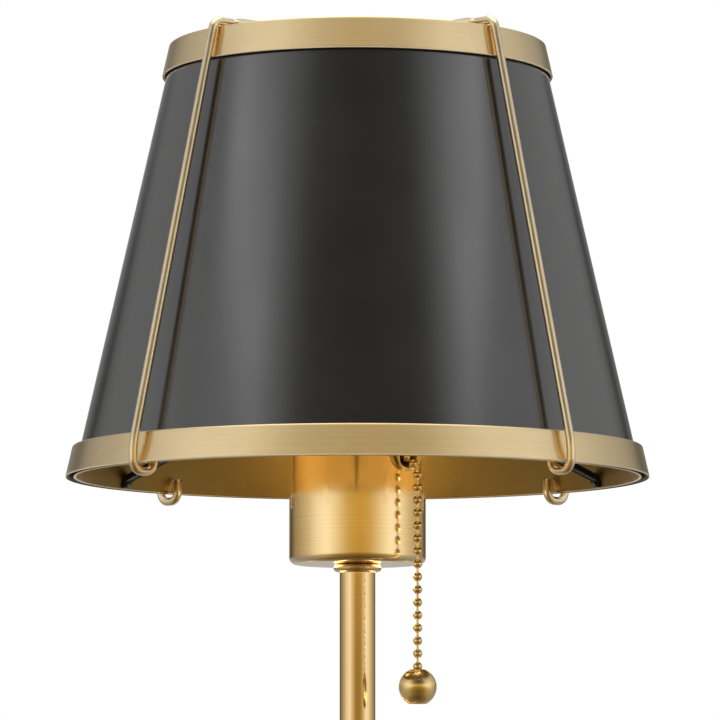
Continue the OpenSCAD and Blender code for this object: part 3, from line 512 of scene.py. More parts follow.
def repeated(name, kind, template, finish, values):
    """Runs a repeat tree on a template and returns the result, with its finish, as a plain mesh object."""
    if kind not in TREES:
        TREES[kind] = repeat_tree(kind)
    tree = TREES[kind]
    seed = bpy.data.objects.new(name, bpy.data.meshes.new(name))
    bpy.context.scene.collection.objects.link(seed)
    modifier = seed.modifiers.new("Repeat", "NODES")
    modifier.node_group = tree
    values = {"Piece": template, "Finish": FINISHES[finish], **values}
    for item in tree.interface.items_tree:
        if item.in_out == "INPUT" and item.name in values:
            modifier[item.identifier] = values[item.name]
    graph = bpy.context.evaluated_depsgraph_get()
    mesh = bpy.data.meshes.new_from_object(seed.evaluated_get(graph))
    seed.modifiers.remove(modifier)
    bpy.data.objects.remove(template)
    return swap_mesh(seed, mesh)


def settle(obj, body, slot, node, *finishes):
    """Gives a piece the finishes named and its body, and hides the node it stands for. The slot is not used.
    """
    if finishes:
        obj.data.materials.clear()
        for finish in finishes:
            obj.data.materials.append(FINISHES[finish])
    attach(obj, body)
    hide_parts(node)


# Finishes: the span and the details of a noise, the sizes of clouds, the depths of bumps, shifts of tone


NOISE_LOW, NOISE_HIGH = 0.3, 0.7
NOISE_ROUGHNESS = 0.6
GRAIN_DETAIL, CLOUD_DETAIL, PEEL_DETAIL = 5.0, 3.0, 2.0
METAL_CLOUDS, COAT_CLOUDS, GLASS_CLOUDS = (35, 35, 35), (28, 28, 28), (40, 40, 40)
METAL_BUMP, COAT_BUMP = 0.0002, 0.00005
METAL_DIM, COAT_DARK, COAT_LIGHT = (0.92, 0.91, 0.89), 0.86, 1.12


def blank_finish(name):
    """A node material: its tree, its shader and its Object coordinates."""
    material = bpy.data.materials.new(name)
    material.use_nodes = True
    tree = material.node_tree
    return material, tree, tree.nodes["Principled BSDF"], add(tree, "ShaderNodeTexCoord").outputs["Object"]


def stretched_noise(tree, coords, scale, detail):
    """Noise on Object coordinates, scaled by a different amount along each axis."""
    place = add(tree, "ShaderNodeMapping", {"Vector": coords, "Scale": scale}).outputs[0]
    noise = {"Vector": place, "Scale": 1.0, "Detail": detail, "Roughness": NOISE_ROUGHNESS}
    return add(tree, "ShaderNodeTexNoise", noise).outputs["Fac"]


def ranged(tree, value, low, high):
    """Maps the usual span of a noise onto a range."""
    span = {"Value": value, "From Min": NOISE_LOW, "From Max": NOISE_HIGH, "To Min": low, "To Max": high}
    return add(tree, "ShaderNodeMapRange", span).outputs["Result"]


def ramped(tree, value, stops):
    """A colour ramp over a value, through stops of a position and a colour or a grey."""
    ramp = add(tree, "ShaderNodeValToRGB", {"Fac": value})
    marks = ramp.color_ramp.elements
    while len(marks) < len(stops):
        marks.new(0.5)
    for mark, (position, colour) in zip(marks, stops):
        mark.position = position
        mark.color = (*(colour if isinstance(colour, tuple) else 3 * (colour,)), 1)
    return ramp.outputs["Color"]


def shaded(tree, value, dark, light):
    """A colour between two colours over the usual span of a noise."""
    return ramped(tree, value, ((NOISE_LOW, dark), (NOISE_HIGH, light)))


def bumped(tree, height, strength, distance):
    """A normal that a noise makes uneven."""
    bump = {"Height": height, "Strength": strength, "Distance": distance}
    return add(tree, "ShaderNodeBump", bump).outputs["Normal"]


def mixed(tree, factor, one, two, **settings):
    """A mix of two colours."""
    inputs = {"Factor": factor, "A": one, "B": two}
    return add(tree, "ShaderNodeMix", inputs, data_type="RGBA", **settings).outputs["Result"]


def scaled(colour, k):
    """A colour times a factor."""
    return tuple(min(1.0, c * k) for c in colour)


def metal_finish(name, colour, grain, roughness, contrast=0.12, bump=0.06, brushed=0.0, across=0.0):
    """Metal with a grain, scaled along X, Y and Z. Brushing spreads light round Z, or across that."""
    material, tree, shader, coords = blank_finish(name)
    fine = stretched_noise(tree, coords, grain, GRAIN_DETAIL)
    broad = stretched_noise(tree, coords, METAL_CLOUDS, CLOUD_DETAIL)
    streak = shaded(tree, fine, scaled(colour, 1 - contrast), scaled(colour, 1 + contrast))
    cloud = shaded(tree, broad, METAL_DIM, (1, 1, 1))
    tone = mixed(tree, 1.0, streak, cloud, blend_type="MULTIPLY")
    feed(tree, shader, {
        "Base Color": tone, "Metallic": 1.0, "Roughness": ranged(tree, fine, *roughness),
        "Normal": bumped(tree, fine, bump, METAL_BUMP),
    })
    if brushed:
        tangent = add(tree, "ShaderNodeTangent", direction_type="RADIAL", axis="Z").outputs[0]
        feed(tree, shader, {"Tangent": tangent, "Anisotropic": brushed, "Anisotropic Rotation": across})
    return material


def coat_finish(name, colour, roughness, peel=900.0, coat=0.0, shine=0.5, bump=0.05, index=1.5):
    """Paint, plastic or glaze with a fine peel, a slow shift of tone and a given shine."""
    material, tree, shader, coords = blank_finish(name)
    broad = stretched_noise(tree, coords, COAT_CLOUDS, CLOUD_DETAIL)
    fine = stretched_noise(tree, coords, (peel, peel, peel), PEEL_DETAIL)
    feed(tree, shader, {
        "Base Color": shaded(tree, broad, scaled(colour, COAT_DARK), scaled(colour, COAT_LIGHT)),
        "Roughness": ranged(tree, broad, *roughness),
        "IOR": index, "Specular IOR Level": shine, "Coat Weight": coat,
        "Normal": bumped(tree, fine, bump, COAT_BUMP),
    })
    return material


def glass_finish(name):
    """Frosted lamp glass with a warm glow."""
    material, tree, shader, coords = blank_finish(name)
    broad = stretched_noise(tree, coords, GLASS_CLOUDS, PEEL_DETAIL)
    feed(tree, shader, {
        "Base Color": shaded(tree, broad, (0.94, 0.88, 0.76), (1, 0.95, 0.86)),
        "Roughness": ranged(tree, broad, 0.22, 0.34),
        "Emission Color": (1.0, 0.74, 0.42, 1), "Emission Strength": 0.15,
    })
    return material


def make_finishes():
    """Makes every finish of the lamp once."""
    look = bpy.context.scene.sconce_finish
    brass, band, cup, bell, rod, bright, paint, lining = (
        tuple(colour) for colour in (
            look.brass, look.band, look.cup, look.bell, look.rod, look.bright, look.paint, look.lining
        )
    )
    around, upward, outward, flat = (6, 6, 2600), (2200, 2200, 8), (2200, 8, 2200), (1500, 12, 1500)
    drawn, smooth, cast, sprayed = (700, 700, 20), (90, 90, 90), (300, 300, 300), (200, 200, 200)
    FINISHES.update({
        "brass_around": metal_finish(
            "Brass brushed around", band, around, (0.28, 0.34),
            contrast=0.04, bump=0.006, brushed=0.95, across=0.25,
        ),
        # Painted highlight: a plain tan, non-metal lip on the bands' lower edges stands in for the light
        # caught there
        "painted_lip_highlight": coat_finish("Brass worn edge", (0.36, 0.29, 0.19), (0.3, 0.4)),
        # Painted shade: near-black brass on the bands' inner faces darkens the narrow gap between band and
        # cone
        "painted_gap_shade": metal_finish("Brass unfinished", (0.1, 0.08, 0.05), cast, (0.5, 0.6)),
        "brass_cup": metal_finish(
            "Brass brushed cup", cup, around, (0.12, 0.17), contrast=0.07, bump=0.006, brushed=0.6
        ),
        "brass_plate": metal_finish(
            "Brass brushed plate", brass, flat, (0.24, 0.32), contrast=0.05, bump=0.02
        ),
        "brass_upright": metal_finish(
            "Brass brushed upright", brass, upward, (0.09, 0.13), contrast=0.08, bump=0.004, brushed=0.6
        ),
        "brass_outward": metal_finish(
            "Brass brushed outward", brass, outward, (0.22, 0.3), contrast=0.06, bump=0.03
        ),
        "brass_rod": metal_finish("Brass drawn rod", rod, drawn, (0.28, 0.34), contrast=0.05, bump=0.004),
        "bright": metal_finish("Brass polished", bright, smooth, (0.2, 0.26), contrast=0.05, bump=0.002),
        "bell": metal_finish("Brass bell", bell, smooth, (0.3, 0.36), contrast=0.05, bump=0.002),
        "paint": coat_finish(
            "Satin black paint", paint, (0.17, 0.22), peel=1400.0, coat=0.5, shine=1.0, bump=0.03, index=1.65
        ),
        "enamel": coat_finish("Black enamel", (0.004, 0.004, 0.004), (0.35, 0.45), shine=0.3),
        "lining": metal_finish(
            "Gold lacquer lining", lining, sprayed, (0.38, 0.46), contrast=0.06, bump=0.01
        ),
        "steel": metal_finish("Plated steel", (0.56, 0.57, 0.58), cast, (0.25, 0.4)),
        "green": coat_finish("Green screw", (0.06, 0.2, 0.07), (0.3, 0.4)),
        "phenolic": coat_finish("Brown moulding", (0.035, 0.026, 0.02), (0.4, 0.55)),
        "ceramic": coat_finish("Glazed ceramic", (0.82, 0.8, 0.74), (0.12, 0.2), peel=600.0, coat=0.4),
        "connector": coat_finish("Orange connector", (0.62, 0.24, 0.03), (0.4, 0.5)),
        "black_wire": coat_finish("Black insulation", (0.02, 0.02, 0.02), (0.4, 0.5)),
        "white_wire": coat_finish("White insulation", (0.8, 0.79, 0.75), (0.4, 0.5)),
        "glass": glass_finish("Lamp glass"),
    })


# What shiny surfaces see of the studio: a height, and colours or greys from the front at 0 to the back at 1

DARK_ROOM = (0.06, 0.058, 0.045)
SOFT_BOX = (1.7, 1.71, 1.75)
STUDIO = (
    # Floor under the lamp
    (-0.95, ((0.0, (0.1, 0.055, 0.008)), (1.0, (0.2, 0.16, 0.1)))),
    # Warm floor, near and far
    (-0.62, (
        (0.0, (0.16, 0.1, 0.02)), (0.2, (0.22, 0.16, 0.07)), (0.4, (0.4, 0.33, 0.2)), (0.75, 0.3),
        (1.0, 0.45),
    )),
    (-0.3, (
        (0.0, (0.18, 0.11, 0.022)), (0.2, (0.26, 0.19, 0.09)), (0.35, (0.5, 0.42, 0.28)), (0.55, 0.4),
        (0.75, 0.3), (1.0, 0.5),
    )),
    (-0.1, (
        (0.0, (0.3, 0.19, 0.04)), (0.1, (0.3, 0.21, 0.07)), (0.2, (0.4, 0.32, 0.18)),
        (0.32, (0.6, 0.55, 0.42)), (0.45, (0.7, 0.63, 0.48)), (0.6, 0.4), (0.75, 0.28), (0.9, 0.4),
        (1.0, 0.5),
    )),
    # Level of the lens, which the stem shows
    (0.045, (
        (0.0, (0.33, 0.215, 0.05)), (0.08, (0.36, 0.25, 0.08)), (0.2, (0.75, 0.64, 0.42)),
        (0.3, (1.18, 1.14, 1.05)), (0.42, (1, 0.95, 0.82)), (0.52, (0.64, 0.57, 0.42)),
        (0.64, (0.42, 0.36, 0.25)), (0.75, (0.3, 0.25, 0.16)), (0.84, (0.08, 0.06, 0.03)),
        (0.95, (0.18, 0.16, 0.13)), (1.0, 0.5),
    )),
    # Level that the cup shows
    (0.08, (
        (0.0, (0.8, 0.51, 0.1)), (0.12, (0.84, 0.61, 0.24)), (0.22, (1.02, 0.92, 0.7)),
        (0.32, (1.14, 1.1, 1)), (0.42, (1, 0.94, 0.8)), (0.52, (0.72, 0.64, 0.48)),
        (0.64, (0.5, 0.43, 0.3)), (0.75, (0.36, 0.3, 0.2)), (0.84, (0.06, 0.05, 0.03)), (0.95, 0.25),
        (1.0, 0.5),
    )),
    # Side walls, which the bands and the paint show at their ends
    (0.2, (
        (0.0, (0.8, 0.52, 0.12)), (0.12, (0.84, 0.62, 0.26)), (0.22, (1, 0.95, 0.78)),
        (0.32, (1.14, 1.14, 1.12)), (0.42, (1.05, 1.04, 1)), (0.52, 0.76), (0.64, 0.52), (0.75, 0.38),
        (0.81, 0.2), (0.84, 0.05), (0.88, 0.16), (0.95, 0.3), (1.0, 0.5),
    )),
    (0.3, (
        (0.0, (0.1, 0.095, 0.075)), (0.12, 0.13), (0.2, 0.5), (0.3, 1), (0.42, 1.05), (0.52, 0.8),
        (0.64, 0.54), (0.75, 0.4), (0.85, 0.26), (1.0, 0.5),
    )),
    # Dark room ahead with a narrow soft box on both sides, which the paint shows
    (0.452, (
        (0.0, DARK_ROOM), (0.12, 0.08), (0.21, 0.14), (0.3, 0.2), (0.42, 0.3), (0.52, 0.42), (0.64, 0.46),
        (0.75, 0.4), (0.85, 0.3), (1.0, 0.6),
    )),
    (0.482, (
        (0.0, DARK_ROOM), (0.12, 0.08), (0.17, 0.2), (0.22, 0.85), (0.28, SOFT_BOX), (0.42, SOFT_BOX),
        (0.5, 0.9), (0.64, 0.5), (0.75, 0.4), (0.85, 0.3), (1.0, 0.6),
    )),
    (0.54, (
        (0.0, (0.065, 0.062, 0.05)), (0.14, 0.1), (0.21, 0.3), (0.3, 0.4), (0.42, 0.45), (0.52, 0.5),
        (1.0, 0.5),
    )),
    # Walls and ceiling
    (0.7, ((0.0, 0.1), (0.2, 0.3), (0.3, 0.45), (1.0, 0.5))),
    (0.92, ((0.0, (2.1, 1.95, 1.5)), (1.0, (2.2, 2.2, 2.1)))),
)
STUDIO_TURN = math.radians(4.5)
ROOM_LIGHT = 0.5
WHITE = (1, 1, 1, 1)

# What a second reflection sees low at the back: its colours, and the heights and ray depths it fades over

DEEP = (
    (0.0, (0.25, 0.2, 0.1)), (0.45, (0.5, 0.45, 0.35)), (0.65, (5.2, 5.1, 4.7)), (1.0, (5.8, 5.6, 5.2)),
)
DEEP_FOOT, DEEP_HEAD = (-0.8, -0.6), (-0.25, -0.05)
DEEP_RAYS = (2, 3)

# Soft boxes: name, azimuth in degrees, height over the aim, width and length of the panel, and power

SOFT_BOXES = (
    ("Left soft box", -54, 0.25, 0.55, 1.5, 22.0),
    ("Right soft box", 56, 0.25, 0.55, 1.5, 20.0),
    ("Top soft box", 8, 1.6, 1.2, 1.2, 12.0),
)
SOFT_BOX_REACH = 1.6
SOFT_BOX_AIM = 0.05


# Operators


class SCONCE_OT_finishes(bpy.types.Operator):
    """Makes the materials and puts them on the solid model's own pieces"""

    bl_idname = "sconce.finishes"
    bl_label = "Finishes"

    def execute(self, context):
        make_finishes()
        for part in frame["record"]["subparts"]:
            mesh = frame["nodes"][part["node"]].data
            mesh.materials.clear()
            mesh.materials.append(FINISHES[SLOT_FINISHES[part["material_slot"]]])
        return {"FINISHED"}


class SCONCE_OT_stage(bpy.types.Operator):
    """Makes the camera, the floor, the lights and the surroundings"""

    bl_idname = "sconce.stage"
    bl_label = "Camera and studio"

    def execute(self, context):
        stage = context.scene.sconce_stage
        data = bpy.data.cameras.new("Camera")
        data.sensor_width = 36.0
        data.lens = stage.focal
        data.clip_end = 50.0
        camera = bpy.data.objects.new("Camera", data)
        context.scene.collection.objects.link(camera)
        camera.location = (
            stage.distance * math.sin(stage.azimuth),
            AXIS_Y - stage.distance * math.cos(stage.azimuth),
            stage.eye,
        )
        camera.rotation_euler = (math.radians(90) + stage.pitch, 0, stage.azimuth + stage.yaw)
        context.scene.camera = camera
        self.floor(stage.floor)
        self.lights(context)
        self.surroundings(context)
        context.scene.view_settings.view_transform = "Standard"
        return {"FINISHED"}

    def floor(self, height):
        """A pale floor that shiny surfaces don't show."""
        bm = bmesh.new()
        bmesh.ops.create_grid(bm, x_segments=8, y_segments=8, size=6.0)
        bmesh.ops.translate(bm, verts=bm.verts, vec=(0, 0, height))
        obj = as_object("Studio_floor", bm)
        obj.data.materials.append(coat_finish("Pale floor", (0.84, 0.84, 0.83), (0.6, 0.75), peel=60.0))
        obj.visible_glossy = False

    def lights(self, context):
        """Soft boxes round the shade, which shiny surfaces don't show."""
        aim = Vector((0, AXIS_Y, RIM_Z + SOFT_BOX_AIM))
        for name, azimuth, height, wide, tall, power in SOFT_BOXES:
            data = bpy.data.lights.new(name, "AREA")
            data.shape = "RECTANGLE"
            data.size, data.size_y = wide, tall
            data.energy = power
            light = bpy.data.objects.new(name, data)
            context.scene.collection.objects.link(light)
            light.visible_glossy = False
            ahead = Vector((0, -SOFT_BOX_REACH, height))
            light.location = aim + Matrix.Rotation(math.radians(azimuth), 3, "Z") @ ahead
            light.rotation_euler = (light.location - aim).to_track_quat("Z", "Y").to_euler()

    def surroundings(self, context):
        """White to the eye, and to shiny surfaces a dim front, bright sides and a warm floor."""
        world = bpy.data.worlds.new("Studio")
        context.scene.world = world
        world.cycles.sampling_method = "NONE"
        world.use_nodes = True
        tree = world.node_tree
        tree.nodes.clear()
        path = add(tree, "ShaderNodeLightPath").outputs
        coords = add(tree, "ShaderNodeTexCoord").outputs["Generated"]
        split = add(tree, "ShaderNodeSeparateXYZ", {0: coords}).outputs
        ahead = reckon(tree, "MULTIPLY", split["Y"], -1.0)
        turn = reckon(tree, "ARCTAN2", split["X"], ahead)
        turn = reckon(tree, "SUBTRACT", turn, STUDIO_TURN)
        turn = reckon(tree, "ABSOLUTE", turn)
        turn = reckon(tree, "DIVIDE", turn, math.pi)
        below, sky = None, None
        for height, stops in STUDIO:
            level = ramped(tree, turn, stops)
            sky = level if sky is None else self.blend(tree, split["Z"], (below, height), sky, level)
            below = height
        deep = ramped(tree, turn, DEEP)
        deep = self.blend(tree, split["Z"], DEEP_FOOT, sky, deep)
        deep = self.blend(tree, split["Z"], DEEP_HEAD, deep, sky)
        sky = self.blend(tree, path["Ray Depth"], DEEP_RAYS, sky, deep)
        seen = reckon(tree, "MAXIMUM", path["Is Camera Ray"], path["Is Transmission Ray"])
        room, mirrored, white = (
            add(tree, "ShaderNodeBackground", {"Color": colour, "Strength": strength}).outputs[0]
            for colour, strength in ((WHITE, ROOM_LIGHT), (sky, 1.0), (WHITE, 1.0))
        )
        shiny = add(tree, "ShaderNodeMixShader", {0: path["Is Glossy Ray"], 1: room, 2: mirrored}).outputs[0]
        plain = add(tree, "ShaderNodeMixShader", {0: seen, 1: shiny, 2: white}).outputs[0]
        add(tree, "ShaderNodeOutputWorld", {"Surface": plain})

    def blend(self, tree, value, span, low, high):
        """Fades from one colour to another over a span of a value."""
        inputs = {"Value": value, "From Min": span[0], "From Max": span[1]}
        fade = add(tree, "ShaderNodeMapRange", inputs, interpolation_type="SMOOTHSTEP")
        return mixed(tree, fade.outputs["Result"], low, high)


class SCONCE_OT_shade(bpy.types.Operator):
    """Turns the painted cone and its two brass bands"""

    bl_idname = "sconce.shade"
    bl_label = "Shade"

    def execute(self, context):
        shade = context.scene.sconce_shade
        sheet, high = shade.band_sheet, shade.height
        top = high - sheet
        cone_edge, hem, top_edge, low_edge = 0.0003, 0.00035, 0.0004, 0.00045

        def side(z, out=0.0):
            return cone_at(shade, z) + out, z

        cone = turned("Shade_cone", soften([
            side(0, -shade.sheet), side(0), side(top), side(top, -shade.sheet),
        ], cone_edge), HEAD, LARGE)
        settle(cone, "lamp", "black_paint", "shade_cone", "paint", "lining", "brass_around")
        for face in cone.data.polygons:
            at = face.center - HEAD.translation
            inside = math.hypot(at.x, at.y) < cone_at(shade, at.z) - shade.sheet / 2
            face.material_index = 2 if at.z < hem else 1 if inside else 0
        gap, reach = shade.top_gap, shade.top_gap + sheet
        foot = high - shade.top_band
        lip = cone_at(shade, high) + gap - shade.top_lip
        band = turned("Upper_band", soften([
            side(foot, gap), side(foot, reach), side(high, reach), (lip, high), (lip, top), side(top, gap),
        ], top_edge), HEAD, LARGE)
        self.dress(band, "top_band", foot, gap + sheet / 2, shade)
        gap, reach = shade.low_gap, shade.low_gap + sheet
        brim, under = shade.low_band, shade.low_band - sheet
        band = turned("Lower_band", soften([
            side(0, gap), side(0, reach), side(brim, reach),
            side(brim, SEAT), side(under, SEAT), side(under, gap),
        ], low_edge), HEAD, LARGE)
        self.dress(band, "low_band", 0, gap + sheet / 2, shade)
        return {"FINISHED"}

    def dress(self, band, node, foot, middle, shade):
        """Brushes a band outside, paints shade on the lower part of its inner face and paints a highlight on
        its lower edge.
        """
        painted_shade_height, painted_highlight_height = 0.009, 0.00045
        settle(band, "lamp", "brass", node, "brass_around", "painted_lip_highlight", "painted_gap_shade")
        for face in band.data.polygons:
            at = face.center - HEAD.translation
            # Inner faces low in the band take the painted shade, faces at the lower edge the painted
            # highlight
            inside = math.hypot(at.x, at.y) < cone_at(shade, at.z) + middle and at.z < foot + painted_shade_height
            face.material_index = 2 if inside else 1 if at.z < foot + painted_highlight_height else 0


class SCONCE_OT_spider(bpy.types.Operator):
    """Makes the ring and the three arms that carry the shade"""

    bl_idname = "sconce.spider"
    bl_label = "Spider"

    def execute(self, context):
        shade, socket = context.scene.sconce_shade, context.scene.sconce_socket
        low = socket.cup_rise + socket.flange
        high = low + shade.spider_sheet
        edge, bevel, overlap, shoulder = 0.0002, 0.00025, 0.001, 0.003
        ring = turned("Spider_ring", soften([
            (shade.spider_bore, low), (shade.spider_ring, low),
            (shade.spider_ring, high), (shade.spider_bore, high),
        ], edge), HEAD, MIDDLE)

        def tab(z):
            return cone_at(shade, z) - shade.sheet - SEAT

        foot, back = 0.0004, shade.tab_sheet
        head = foot + shade.tab_height
        root, bend = shade.spider_ring - overlap, shade.spider_ring + shoulder
        upper, lower = high - SEAT, low + SEAT
        slope = (upper - head) / (tab(head) - bend)
        knee = head - shade.spider_sheet + slope * back
        arm = plate("Spider_arm", [
            (root, upper), (root, lower), (bend, lower),
            (tab(knee) - back, knee), (tab(foot) - back, foot), (tab(foot), foot),
            (tab(head), head), (bend, upper),
        ], shade.spider_width, Matrix(), bevel)
        arms = repeated("Spider_arms", "ring", arm, "enamel", {
            "Count": 3, "Start angle": math.radians(30), "Centre": HEAD.translation,
        })
        spider = joined("Shade_spider", ring, arms)
        settle(spider, "lamp", "black_paint", "shade_spider", "enamel")
        return {"FINISHED"}


class SCONCE_OT_cage(bpy.types.Operator):
    """Bends the four rods and makes the cross bars with their screw"""

    bl_idname = "sconce.cage"
    bl_label = "Cage"

    def execute(self, context):
        shade, cage = context.scene.sconce_shade, context.scene.sconce_cage
        rod = cage.rod / 2
        hook_share, slant, tip_steps, tip_point = 0.8, 1.03, 6, 1e-5
        brim = cone_at(shade, shade.height) + shade.top_gap + shade.band_sheet
        top = shade.height + cage.bar_gap + max(cage.bar_height, cage.rod) / 2
        outer = cone_at(shade, 0) + shade.low_gap + shade.band_sheet + cage.rod_gap + rod
        inner = cone_at(shade, cage.hook_tip) - shade.sheet - cage.hook_back - rod
        hook = hook_share * (outer - inner) / 2
        end = brim - cage.inset
        upper = brim + (cage.rod_top_gap + rod) * slant
        low = hook - rod - cage.hook_drop
        knee = low + cage.knee_rise
        slope = (outer - upper) / (shade.height - knee)
        tilt = math.degrees(math.atan(slope))
        corner = upper - slope * (top - shade.height)
        turn = math.tan(math.radians(45 - tilt / 2)) * cage.bend
        drop = math.tan(math.radians(tilt / 2)) * cage.knee
        path, radii = self.neck(cage, end, top)
        bends = [
            *arc((corner - turn, top - cage.bend), cage.bend, 90, tilt, 10),
            *arc((outer - cage.knee, knee - drop), cage.knee, tilt, 0, 8),
            *arc((outer - hook, low), hook, 0, -90, 14),
            *arc((inner + hook, low), hook, -90, -180, 14),
        ]
        path += bends
        radii += [rod] * len(bends)
        for k in range(tip_steps + 1):
            a = math.radians(90 * k / tip_steps)
            path.append((inner, cage.hook_tip - rod / 2 * (1 - math.sin(a))))
            radii.append(max(rod / 2 * (1 + math.cos(a)), tip_point))
        strap = swept("Cage_rod", [(p[0], 0, p[1]) for p in path], radii, ROD)
        straps = repeated("Cage_rods", "ring", strap, "brass_rod", {
            "Count": 4, "Start angle": math.radians(45), "Centre": HEAD.translation,
        })
        settle(straps, "lamp", "brass", "cage_straps")
        self.bars(cage, end - cage.neck, shade.height + cage.bar_gap)
        return {"FINISHED"}

    def neck(self, cage, end, top):
        """The threaded end that screws into the bar, and the chamfer where the rod begins."""
        depth, half_pitch, count, buried = 0.0002, 0.00025, 14, 0.0032
        chamfer, step = 0.0002, 0.00002
        crest, root = cage.thread / 2, cage.thread / 2 - depth
        path = [(end - buried + k * half_pitch, top) for k in range(count)]
        radii = [crest if k % 2 else root for k in range(count)]
        path += [(end, top), (end + step, top), (end + chamfer, top)]
        radii += [root, cage.rod / 2 - chamfer, cage.rod / 2]
        return path, radii

    def bars(self, cage, half, low):
        """Two bars halved into each other, and the domed screw through both."""
        high, middle = low + cage.bar_height, low + cage.bar_height / 2
        notch = cage.bar_width / 2 + SEAT
        bevel, dome_share, past = 0.0004, 0.6, 0.001
        for name, node, azimuth, cut in (
            ("Cross_bar_a", "cross_bar_a", 45, high), ("Cross_bar_b", "cross_bar_b", 135, low)
        ):
            other = low if cut == high else high
            outline = [
                (-half, other), (half, other), (half, cut), (notch, cut), (notch, middle),
                (-notch, middle), (-notch, cut), (-half, cut),
            ]
            place = HEAD @ Matrix.Rotation(math.radians(azimuth), 4, "Z")
            bar = plate(name, outline, cage.bar_width, place, bevel)
            settle(bar, "lamp", "brass", node, "brass_rod")
        head, tall = cage.screw, cage.screw * dome_share
        dome = [(0, high), *[(r, high + z) for r, z in rounded_top(head, tall, tall / 2)]]
        screw = turned("Cross_screw", dome, HEAD, SMALL)
        stem = peg("Cross_screw_shank", HEAD, cage.screw / 2, low - tall - past, high, PIN)
        settle(joined("Cross_screw", screw, stem), "lamp", "brass", "cross_screw", "brass_rod")


class SCONCE_OT_socket(bpy.types.Operator):
    """Turns the socket cup, the chain bell, the threaded skirt and the ring nut"""

    bl_idname = "sconce.socket"
    bl_label = "Socket cup"

    def execute(self, context):
        socket, stand = context.scene.sconce_socket, context.scene.sconce_stand
        radius, wall, corner = socket.cup_radius, socket.cup_wall, socket.cup_round
        hole, floor = stand.nipple / 2, -socket.cup_drop
        lip_edge, bore_start, bore_end = 0.0003, -0.012, 0.002
        cup = turned("Socket_cup", [
            (hole, floor + wall), (hole, floor),
            *arc((radius - corner, floor + corner), corner, -90, 0, 10),
            *soften_end([(radius, socket.cup_rise), (radius - wall, socket.cup_rise)], lip_edge),
            (radius - wall, floor + wall),
        ], HEAD, LARGE)
        bell_axis = PULL @ Matrix.Translation((radius + socket.bell_reach, 0, socket.bell_height))
        bell_axis @= Matrix.Rotation(math.radians(90) + socket.bell_tilt, 4, "Y")
        throat = socket.bell_bore + socket.bell_wall
        bored(cup, peg("Bell_hole", bell_axis, throat + socket.bell_room, bore_start, bore_end, BORE))
        settle(cup, "lamp", "brass", "socket_cup", "brass_cup")
        self.bell(socket, bell_axis)
        self.skirt(socket, context.scene.sconce_shade)
        return {"FINISHED"}

    def bell(self, socket, axis):
        """A short trumpet with a rolled lip."""
        inner, wall, lip = socket.bell_bore, socket.bell_wall, socket.bell_radius
        flare = lip - inner - wall
        tail, depth, steps, curl, spread = 0.0016, 0.0024, 8, 1.7, 2.2
        back = -socket.bell_reach - socket.cup_wall - tail
        flank = [(t / steps, -depth * (1 - t / steps) ** curl) for t in range(steps + 1)]
        outside = [(inner + wall + flare * t ** spread, z) for t, z in flank]
        inside = [(inner + flare * t ** spread, z + wall / 2 * t) for t, z in flank]
        outline = [(inner, back), (inner + wall, back), *outside, *inside[::-1]]
        bell = turned("Chain_bell", outline, axis, MIDDLE, crease=50)
        settle(bell, "lamp", "brass", "chain_bell", "bell")

    def skirt(self, socket, shade):
        """The ceramic skirt with its thread, and the ring nut on it."""
        low, high = socket.cup_rise, socket.cup_rise + socket.flange
        half_pitch, depth = 0.00075, 0.0004
        thread = [
            (socket.skirt_radius - depth * (k % 2), high + half_pitch * k)
            for k in range(1, int(socket.skirt_rise / half_pitch) + 1)
        ]
        skirt = turned("Threaded_skirt", [
            (socket.skirt_bore, socket.skirt_foot), (socket.skirt_radius, socket.skirt_foot),
            (socket.skirt_radius, low), (socket.cup_radius, low), (socket.cup_radius, high),
            (socket.skirt_radius, high), *thread, (socket.skirt_bore, high + socket.skirt_rise),
        ], HEAD, MIDDLE, crease=50)
        settle(skirt, "lamp", "ceramic", "threaded_skirt", "ceramic")
        foot = high + shade.spider_sheet
        tall, rim, bore = socket.ring_height, socket.ring_radius, socket.skirt_radius + SEAT
        groove, ridge, waist, edge = 0.0005, 0.3, 0.4, 0.0003
        nut = turned("Ring_nut", soften([
            (bore, foot), (rim, foot), (rim, foot + tall * ridge), (rim - groove, foot + tall * waist),
            (rim - groove, foot + tall * (1 - waist)), (rim, foot + tall * (1 - ridge)),
            (rim, foot + tall), (bore, foot + tall),
        ], edge), HEAD, MIDDLE)
        settle(nut, "lamp", "phenolic", "ring_nut", "phenolic")


class SCONCE_OT_bulb(bpy.types.Operator):
    """Blows the bulb's glass"""

    bl_idname = "sconce.bulb"
    bl_label = "Bulb"

    def execute(self, context):
        socket = context.scene.sconce_socket
        low, high = (corner.z - RIM_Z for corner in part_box("bulb_glass"))
        outside = self.outline(socket.bulb_radius, socket.bulb_neck, low, high)
        wall = socket.bulb_wall
        inside = self.outline(socket.bulb_radius - wall, socket.bulb_neck - wall, low, high - wall)
        glass = turned("Bulb_glass", outside + inside[::-1], HEAD, MIDDLE)
        settle(glass, "bulb", "bulb_glass", "bulb_glass", "glass")
        return {"FINISHED"}

    def outline(self, radius, neck, low, high):
        """Neck, shoulder and crown of the glass."""
        below = 35
        lean = math.radians(below)
        centre = high - radius
        shoulder = centre - radius * math.sin(lean)
        throat = shoulder - (radius * math.cos(lean) - neck) / math.tan(lean)
        return [(neck, low), (neck, throat), *arc((0, centre), radius, -below, 90, 24)]


